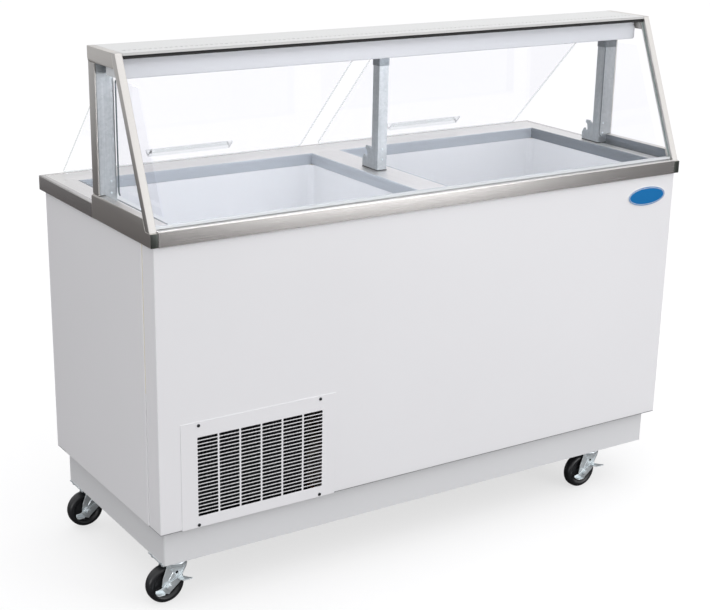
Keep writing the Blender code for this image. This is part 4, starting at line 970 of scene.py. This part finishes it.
# ---- Light ---------------------------------------------------------------------------------------------
# A trough of painted sheet under the canopy with a tube lamp in it. Its front wall has a fold a third of
# the way down, so the lower part stands proud and reads lighter than the shaded strip above.
low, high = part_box("light_housing")
x0, x1, y0, y1, zb, zt = low[0], high[0], low[1], high[1], low[2], high[2]
# the trough reads pale and slightly blue beside the canopy; the lit tube is an even cool white
housing_coat = powder_coat("Pale blue-grey powder coat", "F1F4F6", "ECEFF2", 0.38)
profile = [(0.0030, zt), (0.0030, zt - 0.0240), (0.0, zt - 0.0290), (0.0, zb + 0.0040), (0.0012, zb + 0.0012),
           (0.0040, zb), (0.0110, zb), (0.0110, zb + 0.0012), (0.0044, zb + 0.0012), (0.0012, zb + 0.0044)]
profile += [(0.0012, zt - 0.0285), (0.0042, zt - 0.0235), (0.0042, zt - 0.0012)]
bm = skin(bmesh.new(), [[(x, y, z) for x, y in rounded(x0 + o, x1 - o, y0 + o, y1 - o, 0.0120 - o, 5)]
                        for o, z in profile])
piece("light_trough", bm, housing_coat, "cabinet", ["light_housing"], 40)
diffuser = moulded("Opal lamp glass, lit", "F6F8F9", "EEF1F4", 0.2, 0.002)
lit = next(n for n in diffuser.node_tree.nodes if n.type == "BSDF_PRINCIPLED")
lit.inputs["Emission Color"].default_value = colour("FBFCFF")
lit.inputs["Emission Strength"].default_value = 7.0
dress("lamp_tube", diffuser)
bm = bmesh.new()
for side in (-1, 1):
    holder = rounded(-0.1290, -0.0870, zb + 0.0060, zt - 0.0060, 0.006, 3)
    slab(bm, [holder], "yz", *sorted((side * 0.8080, side * 0.7960)), 0.0008)
piece("lamp_holders", bm, badge_white)

# ---- Panes ---------------------------------------------------------------------------------------------
# The front pane and the two end panes are 5 mm clear float glass with ground edges. The front one stands in
# a slim channel on the counter and is held at the top by a black rubber gasket under the canopy's lip.


def clear_sheet(name, tint, strength):
    """Clear sheet: light goes straight through with a trace of tint, and the outer face mirrors faintly."""
    made, tree, _ = begin(name)
    through = put(tree, "ShaderNodeBsdfTransparent", {"Color": colour(tint)})
    shine = put(tree, "ShaderNodeBsdfAnisotropic", {"Color": (1, 1, 1, 1), "Roughness": 0.03})
    facing = put(tree, "ShaderNodeFresnel", {"IOR": strength})
    outside = put(tree, "ShaderNodeNewGeometry").outputs["Backfacing"]
    front = put(tree, "ShaderNodeMath", {0: 1.0, 1: outside}, operation="SUBTRACT")
    amount = put(tree, "ShaderNodeMath", {0: facing.outputs["Fac"], 1: front.outputs["Value"]},
                 operation="MULTIPLY")
    both = put(tree, "ShaderNodeMixShader", {0: amount.outputs["Value"], 1: through.outputs["BSDF"],
                                             2: shine.outputs["BSDF"]})
    put(tree, "ShaderNodeOutputMaterial", {"Surface": both.outputs["Shader"]})
    return made


def edge_sheet(name, light, dark, clear):
    """Ground edge of a clear sheet: the tint of a long look through it, half see-through."""
    made, tree, place = begin(name)
    grind = put(tree, "ShaderNodeTexNoise", {"Scale": 300.0, "Detail": 2.0, "Vector": place})
    tone = put(tree, "ShaderNodeMix", {0: grind.outputs["Fac"], 6: colour(light), 7: colour(dark)},
               data_type="RGBA")
    solid = put(tree, "ShaderNodeBsdfPrincipled", {"Base Color": tone.outputs[2], "Roughness": 0.35,
                                                   "IOR": 1.5})
    through = put(tree, "ShaderNodeBsdfTransparent", {"Color": colour(light)})
    both = put(tree, "ShaderNodeMixShader", {0: 1.0 - clear, 1: through.outputs["BSDF"],
                                             2: solid.outputs["BSDF"]})
    put(tree, "ShaderNodeOutputMaterial", {"Surface": both.outputs["Shader"]})
    return made


# float glass reads clear; its ground edge as a pale sea green line, or a dark one where no light reaches it
glass = clear_sheet("Clear float glass", "FEFEFF", 1.42)
glass_edge = edge_sheet("Ground glass edge", "C5D2CF", "B2C2BE", 0.55)
dark_edge = edge_sheet("Ground glass edge in shade", "59646A", "49545A", 0.15)


def pane(name, loop, plane, low, high, faces, edge, body, stands_for, bend=None, rear_only=False):
    """Clear pane: its faces in one material, and its ground rim, or its rear edge alone, in the other."""
    bm = slab(bmesh.new(), [loop], plane, low, high, 0.0005)
    bmesh.ops.recalc_face_normals(bm, faces=bm.faces)
    axis = {"xy": 2, "xz": 1, "yz": 0}[plane]
    for f in bm.faces:
        rim = f.normal.y > 0.3 if rear_only else abs(f.normal[axis]) < 0.9
        f.material_index = 1 if rim else 0
    if bend:
        for v in bm.verts:
            v.co = bend(v.co)
    return piece(name, bm, [faces, edge], body, stands_for, 30)


low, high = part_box("front_glass")
GLASS_T, PANE_X, CHANNEL_X = 0.005, 0.8290, 0.8288
PANE_SET = 0.0100                    # the pane's outer face stands this far behind the stile's front line
slant = math.sqrt(1 + SLOPE ** 2)
run_high, pane_run = (high[2] - low[2]) * slant, GLASS_T * slant
tilt = math.atan(SLOPE)
foot_y, foot_z = low[1], low[2]


def lean_back(co):
    """From the pane's own plane (along x, up the slope, thickness) to its leaning place."""
    return Vector((co.x, foot_y + co.z * math.sin(tilt) + co.y * math.cos(tilt),
                   foot_z + co.z * math.cos(tilt) - co.y * math.sin(tilt)))


pane("front_pane", rounded(-PANE_X, PANE_X, 0.0015, run_high, 0.003, 2), "xz", 0.0, GLASS_T, glass,
     glass_edge, "cabinet", ["front_glass"], lean_back)
for side, label in ((-1, "left"), (1, "right")):
    low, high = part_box("end_glass_" + label)
    z0, z1, back = low[2], high[2], -0.0575        # the rear edge stands just ahead of the post
    ahead = PANE_SET + pane_run + 0.0045
    shape = arc(back - 0.012, z0 + 0.012, 0.012, 270, 90, 4) + arc(back - 0.008, z1 - 0.008, 0.008, 0, 90, 4)
    shape += [(stile_y(z1) + ahead, z1), (stile_y(z0) + ahead, z0)]
    pane("end_pane_" + label, shape, "yz", low[0], high[0], glass, dark_edge, "cabinet",
         ["end_glass_" + label], None, True)
# anodised aluminium reads as a soft mid grey with fine lines along the section
channel_metal = brushed("Anodised aluminium channel", "D0D2D3", "BEC1C3", (5.0, 700.0, 700.0), 0.34)


def pane_grip(closed, lip, wall):
    """U-section with a rounded lip that follows the slope of the pane and closes round one edge of it."""
    up = 1 if lip > closed else -1

    def seat(z, out):
        """Point at height z, set out from the pane's outer face."""
        return stile_y(z) + PANE_SET + out, z

    floor_z, soft = closed + up * 0.0026, up * 0.0008
    return [seat(closed, 0.0006 - wall), seat(closed, pane_run + wall - 0.0006),
            seat(closed + soft, pane_run + wall), seat(lip - soft, pane_run + wall),
            seat(lip, pane_run + wall * 0.55), seat(lip - soft, pane_run + GAP),
            seat(floor_z, pane_run + GAP), seat(floor_z, -GAP), seat(lip - soft, -GAP),
            seat(lip, -wall * 0.55), seat(lip - soft, -wall), seat(closed + soft, -wall)]


bm = slab(bmesh.new(), [pane_grip(CZ1 + 0.0003, 1.0250, 0.0026)], "yz", -CHANNEL_X, CHANNEL_X, 0.0002)
piece("pane_channel", bm, channel_metal, "cabinet", ["glass_channel"], 60)
bm = slab(bmesh.new(), [pane_grip(1.4040, 1.3965, 0.0022)], "yz", -CHANNEL_X, CHANNEL_X, 0.0002)
piece("pane_gasket", bm, rubber, "cabinet", ["glass_gasket"], 60)

# ---- Lids ----------------------------------------------------------------------------------------------
# Two clear acrylic flaps close the server's side. Each is cemented into an aluminium clip that turns on the
# hinge rod, and has a folded acrylic pull cemented across its lower edge.
LID_ANGLE = math.radians(-46.15)
LID_LENGTH, LID_X0, LID_X1 = 0.4977, 0.030, 0.785
HALF, LAP = 0.0025, 0.0002           # half the sheet's thickness, and the cement line on its faces
# cast acrylic reads clearer than the glass, with a bright polished edge
acrylic = clear_sheet("Clear cast acrylic", "FEFEFF", 1.25)
acrylic_edge = edge_sheet("Polished acrylic edge", "EDF0EF", "E0E5E4", 0.70)


def on_lid(co):
    """From the lid's own plane (x, along the slope, out of it) to its place at rest."""
    return Vector((co.x, HINGE_Y + co.z * math.cos(LID_ANGLE) - co.y * math.sin(LID_ANGLE),
                   HINGE_Z + co.z * math.sin(LID_ANGLE) + co.y * math.cos(LID_ANGLE)))


# the pull's cut ends are frosted and its faces nearly clear
frosted, tree, place = begin("Frosted acrylic, cut end")
frost = put(tree, "ShaderNodeTexNoise", {"Scale": 700.0, "Detail": 2.0, "Vector": place})
frost_tone = put(tree, "ShaderNodeMix", {0: frost.outputs["Fac"], 6: colour("FAFBFB"), 7: colour("F2F4F4")},
                 data_type="RGBA")
lit_front = put(tree, "ShaderNodeBsdfPrincipled", {"Base Color": frost_tone.outputs[2], "Roughness": 0.5,
                                                   "IOR": 1.49})
lit_back = put(tree, "ShaderNodeBsdfTranslucent", {"Color": frost_tone.outputs[2]})
blend = put(tree, "ShaderNodeMixShader", {0: 0.5, 1: lit_front.outputs["BSDF"], 2: lit_back.outputs["BSDF"]})
put(tree, "ShaderNodeOutputMaterial", {"Surface": blend.outputs["Shader"]})
pull_face = edge_sheet("Clear acrylic, folded", "FBFCFC", "F3F5F5", 0.88)
for side, label in ((-1, "left"), (1, "right")):
    body = "lid_" + label
    x0, x1 = sorted((side * LID_X0, side * LID_X1))
    outline = rounded(x0, x1, 0.0070, LID_LENGTH, 0.0100, 4)
    pane("lid_pane_" + label, outline, "xz", -HALF, HALF, acrylic, acrylic_edge, body, ["lid_" + label],
         on_lid)
    # clip: a barrel round the rod and two lips over the sheet
    clip = [(0.0062 * math.cos(a), 0.0062 * math.sin(a))
            for a in [math.radians(38 + 284 * i / 16) for i in range(17)]]
    clip += [(0.0180, -HALF - 0.0013), (0.0180, -HALF - LAP), (0.0066, -HALF - LAP), (0.0066, HALF + LAP),
             (0.0180, HALF + LAP), (0.0180, HALF + 0.0013)]
    bm = slab(bmesh.new(), [clip, circle(0.0, 0.0, 0.0033, 20)], "yz", x0 + 0.0010, x1 - 0.0010, 0.0002)
    for v in bm.verts:
        v.co = on_lid(Vector((v.co.x, v.co.z, v.co.y)))
    piece("lid_hinge_clip_" + label, bm, channel_metal, body, (), 40)
    mid = (x0 + x1) / 2
    pull = [(0.4400, HALF + 0.0001), (0.4720, HALF + 0.0001), (0.4716, 0.0100), (0.4704, 0.0238),
            (0.4660, 0.0240), (0.4652, 0.0100), (0.4620, 0.0066), (0.4400, 0.0065)]
    bm = slab(bmesh.new(), [pull], "yz", mid - 0.13, mid + 0.13, 0.0008)
    bmesh.ops.recalc_face_normals(bm, faces=bm.faces)
    for f in bm.faces:
        f.material_index = 1 if abs(f.normal.x) > 0.5 else 0
    for v in bm.verts:
        v.co = on_lid(Vector((v.co.x, v.co.z, v.co.y)))
    piece("lid_pull_" + label, bm, [pull_face, frosted], body, ["lid_handle_" + label], 40)

# ---- Controls and inlet --------------------------------------------------------------------------------
# On the server's side: a black moulded plate with a thermostat knob inside a ring of white ticks, and a
# recessed power inlet with three brass blades. Both are screwed to the rear panel.
low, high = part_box("control_box")
knob_low, knob_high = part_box("thermostat_knob")
# moulded ABS reads as a fine-grained black, and the print on it as crisp flat white
black_abs = moulded("Black ABS, moulded", "1D1E20", "151617", 0.45, 0.0010)
tick_white = moulded("White screen print", "EDEDED", "E2E2E2", 0.5, 0.001)
dress("control_box", black_abs)
knob_x, knob_z = (knob_low[0] + knob_high[0]) / 2, (knob_low[2] + knob_high[2]) / 2
bm = bmesh.new()
for i in range(11):
    a = math.radians(-50 + 28 * i)
    near, far, wide = 0.0200, 0.0235 + 0.0012 * (i % 5 == 0), 0.0005
    c, s = math.cos(a), math.sin(a)
    tick = [(near, -wide), (far, -wide), (far, wide), (near, wide)]
    slab(bm, [[(knob_x + r * c - t * s, knob_z + r * s + t * c) for r, t in tick]], "xz", high[1] - 0.0002,
         high[1] + 0.0002, 0.0001)
piece("thermostat_ticks", bm, tick_white)
bm = bmesh.new()
for x in (low[0] + 0.010, high[0] - 0.010):
    for z in (low[2] + 0.010, high[2] - 0.010):
        cross_screw(bm, (x, high[1] - 0.0002, z), (0, 1, 0), 0.0030)
piece("control_plate_screws", bm, dark_steel)
bm = bmesh.new()
steps = 48
levels = ((0.0170, 0.0), (0.0170, 0.0018), (0.0160, 0.0026), (0.0138, 0.0030), (0.0132, 0.0082),
          (0.0122, 0.0090), (0.0040, 0.0090))
knob_loops = []
for r, h in levels:
    loop = []
    for i in range(steps):
        a = 2 * math.pi * i / steps
        flute = 1.0 - 0.03 * (math.cos(12 * a) > 0.3) if 0.0028 < h < 0.0085 else 1.0
        loop.append((knob_x + r * flute * math.cos(a), knob_low[1] + h, knob_z + r * flute * math.sin(a)))
    knob_loops.append(loop)
skin(bm, knob_loops)
piece("thermostat_dial", bm, black_abs, "thermostat", ["thermostat_knob"], 30)
bm = slab(bmesh.new(), [rectangle(knob_x - 0.0006, knob_x + 0.0006, knob_z + 0.0050, knob_z + 0.0118)], "xz",
          knob_high[1] - 0.0003, knob_high[1], 0.0001)
piece("thermostat_pointer", bm, tick_white, "thermostat", ["thermostat_knob"])
low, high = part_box("power_inlet")
dress("power_inlet", black_abs)
# stamped brass reads as small warm glints in the dark recess
brass = plated("Brass blade, stamped", "D9BE77", "C2A660", 0.28, 0.004)
bm = bmesh.new()
for dx, dz in ((-0.007, -0.003), (0.0, 0.004), (0.007, -0.003)):
    cx, cz = (low[0] + high[0]) / 2 + dx, (low[2] + high[2]) / 2 + dz
    slab(bm, [rectangle(cx - 0.0010, cx + 0.0010, cz - 0.0021, cz + 0.0021)], "xz",
         low[1] + 0.0030, high[1] - 0.0010, 0.0003)
piece("inlet_blades", bm, brass)
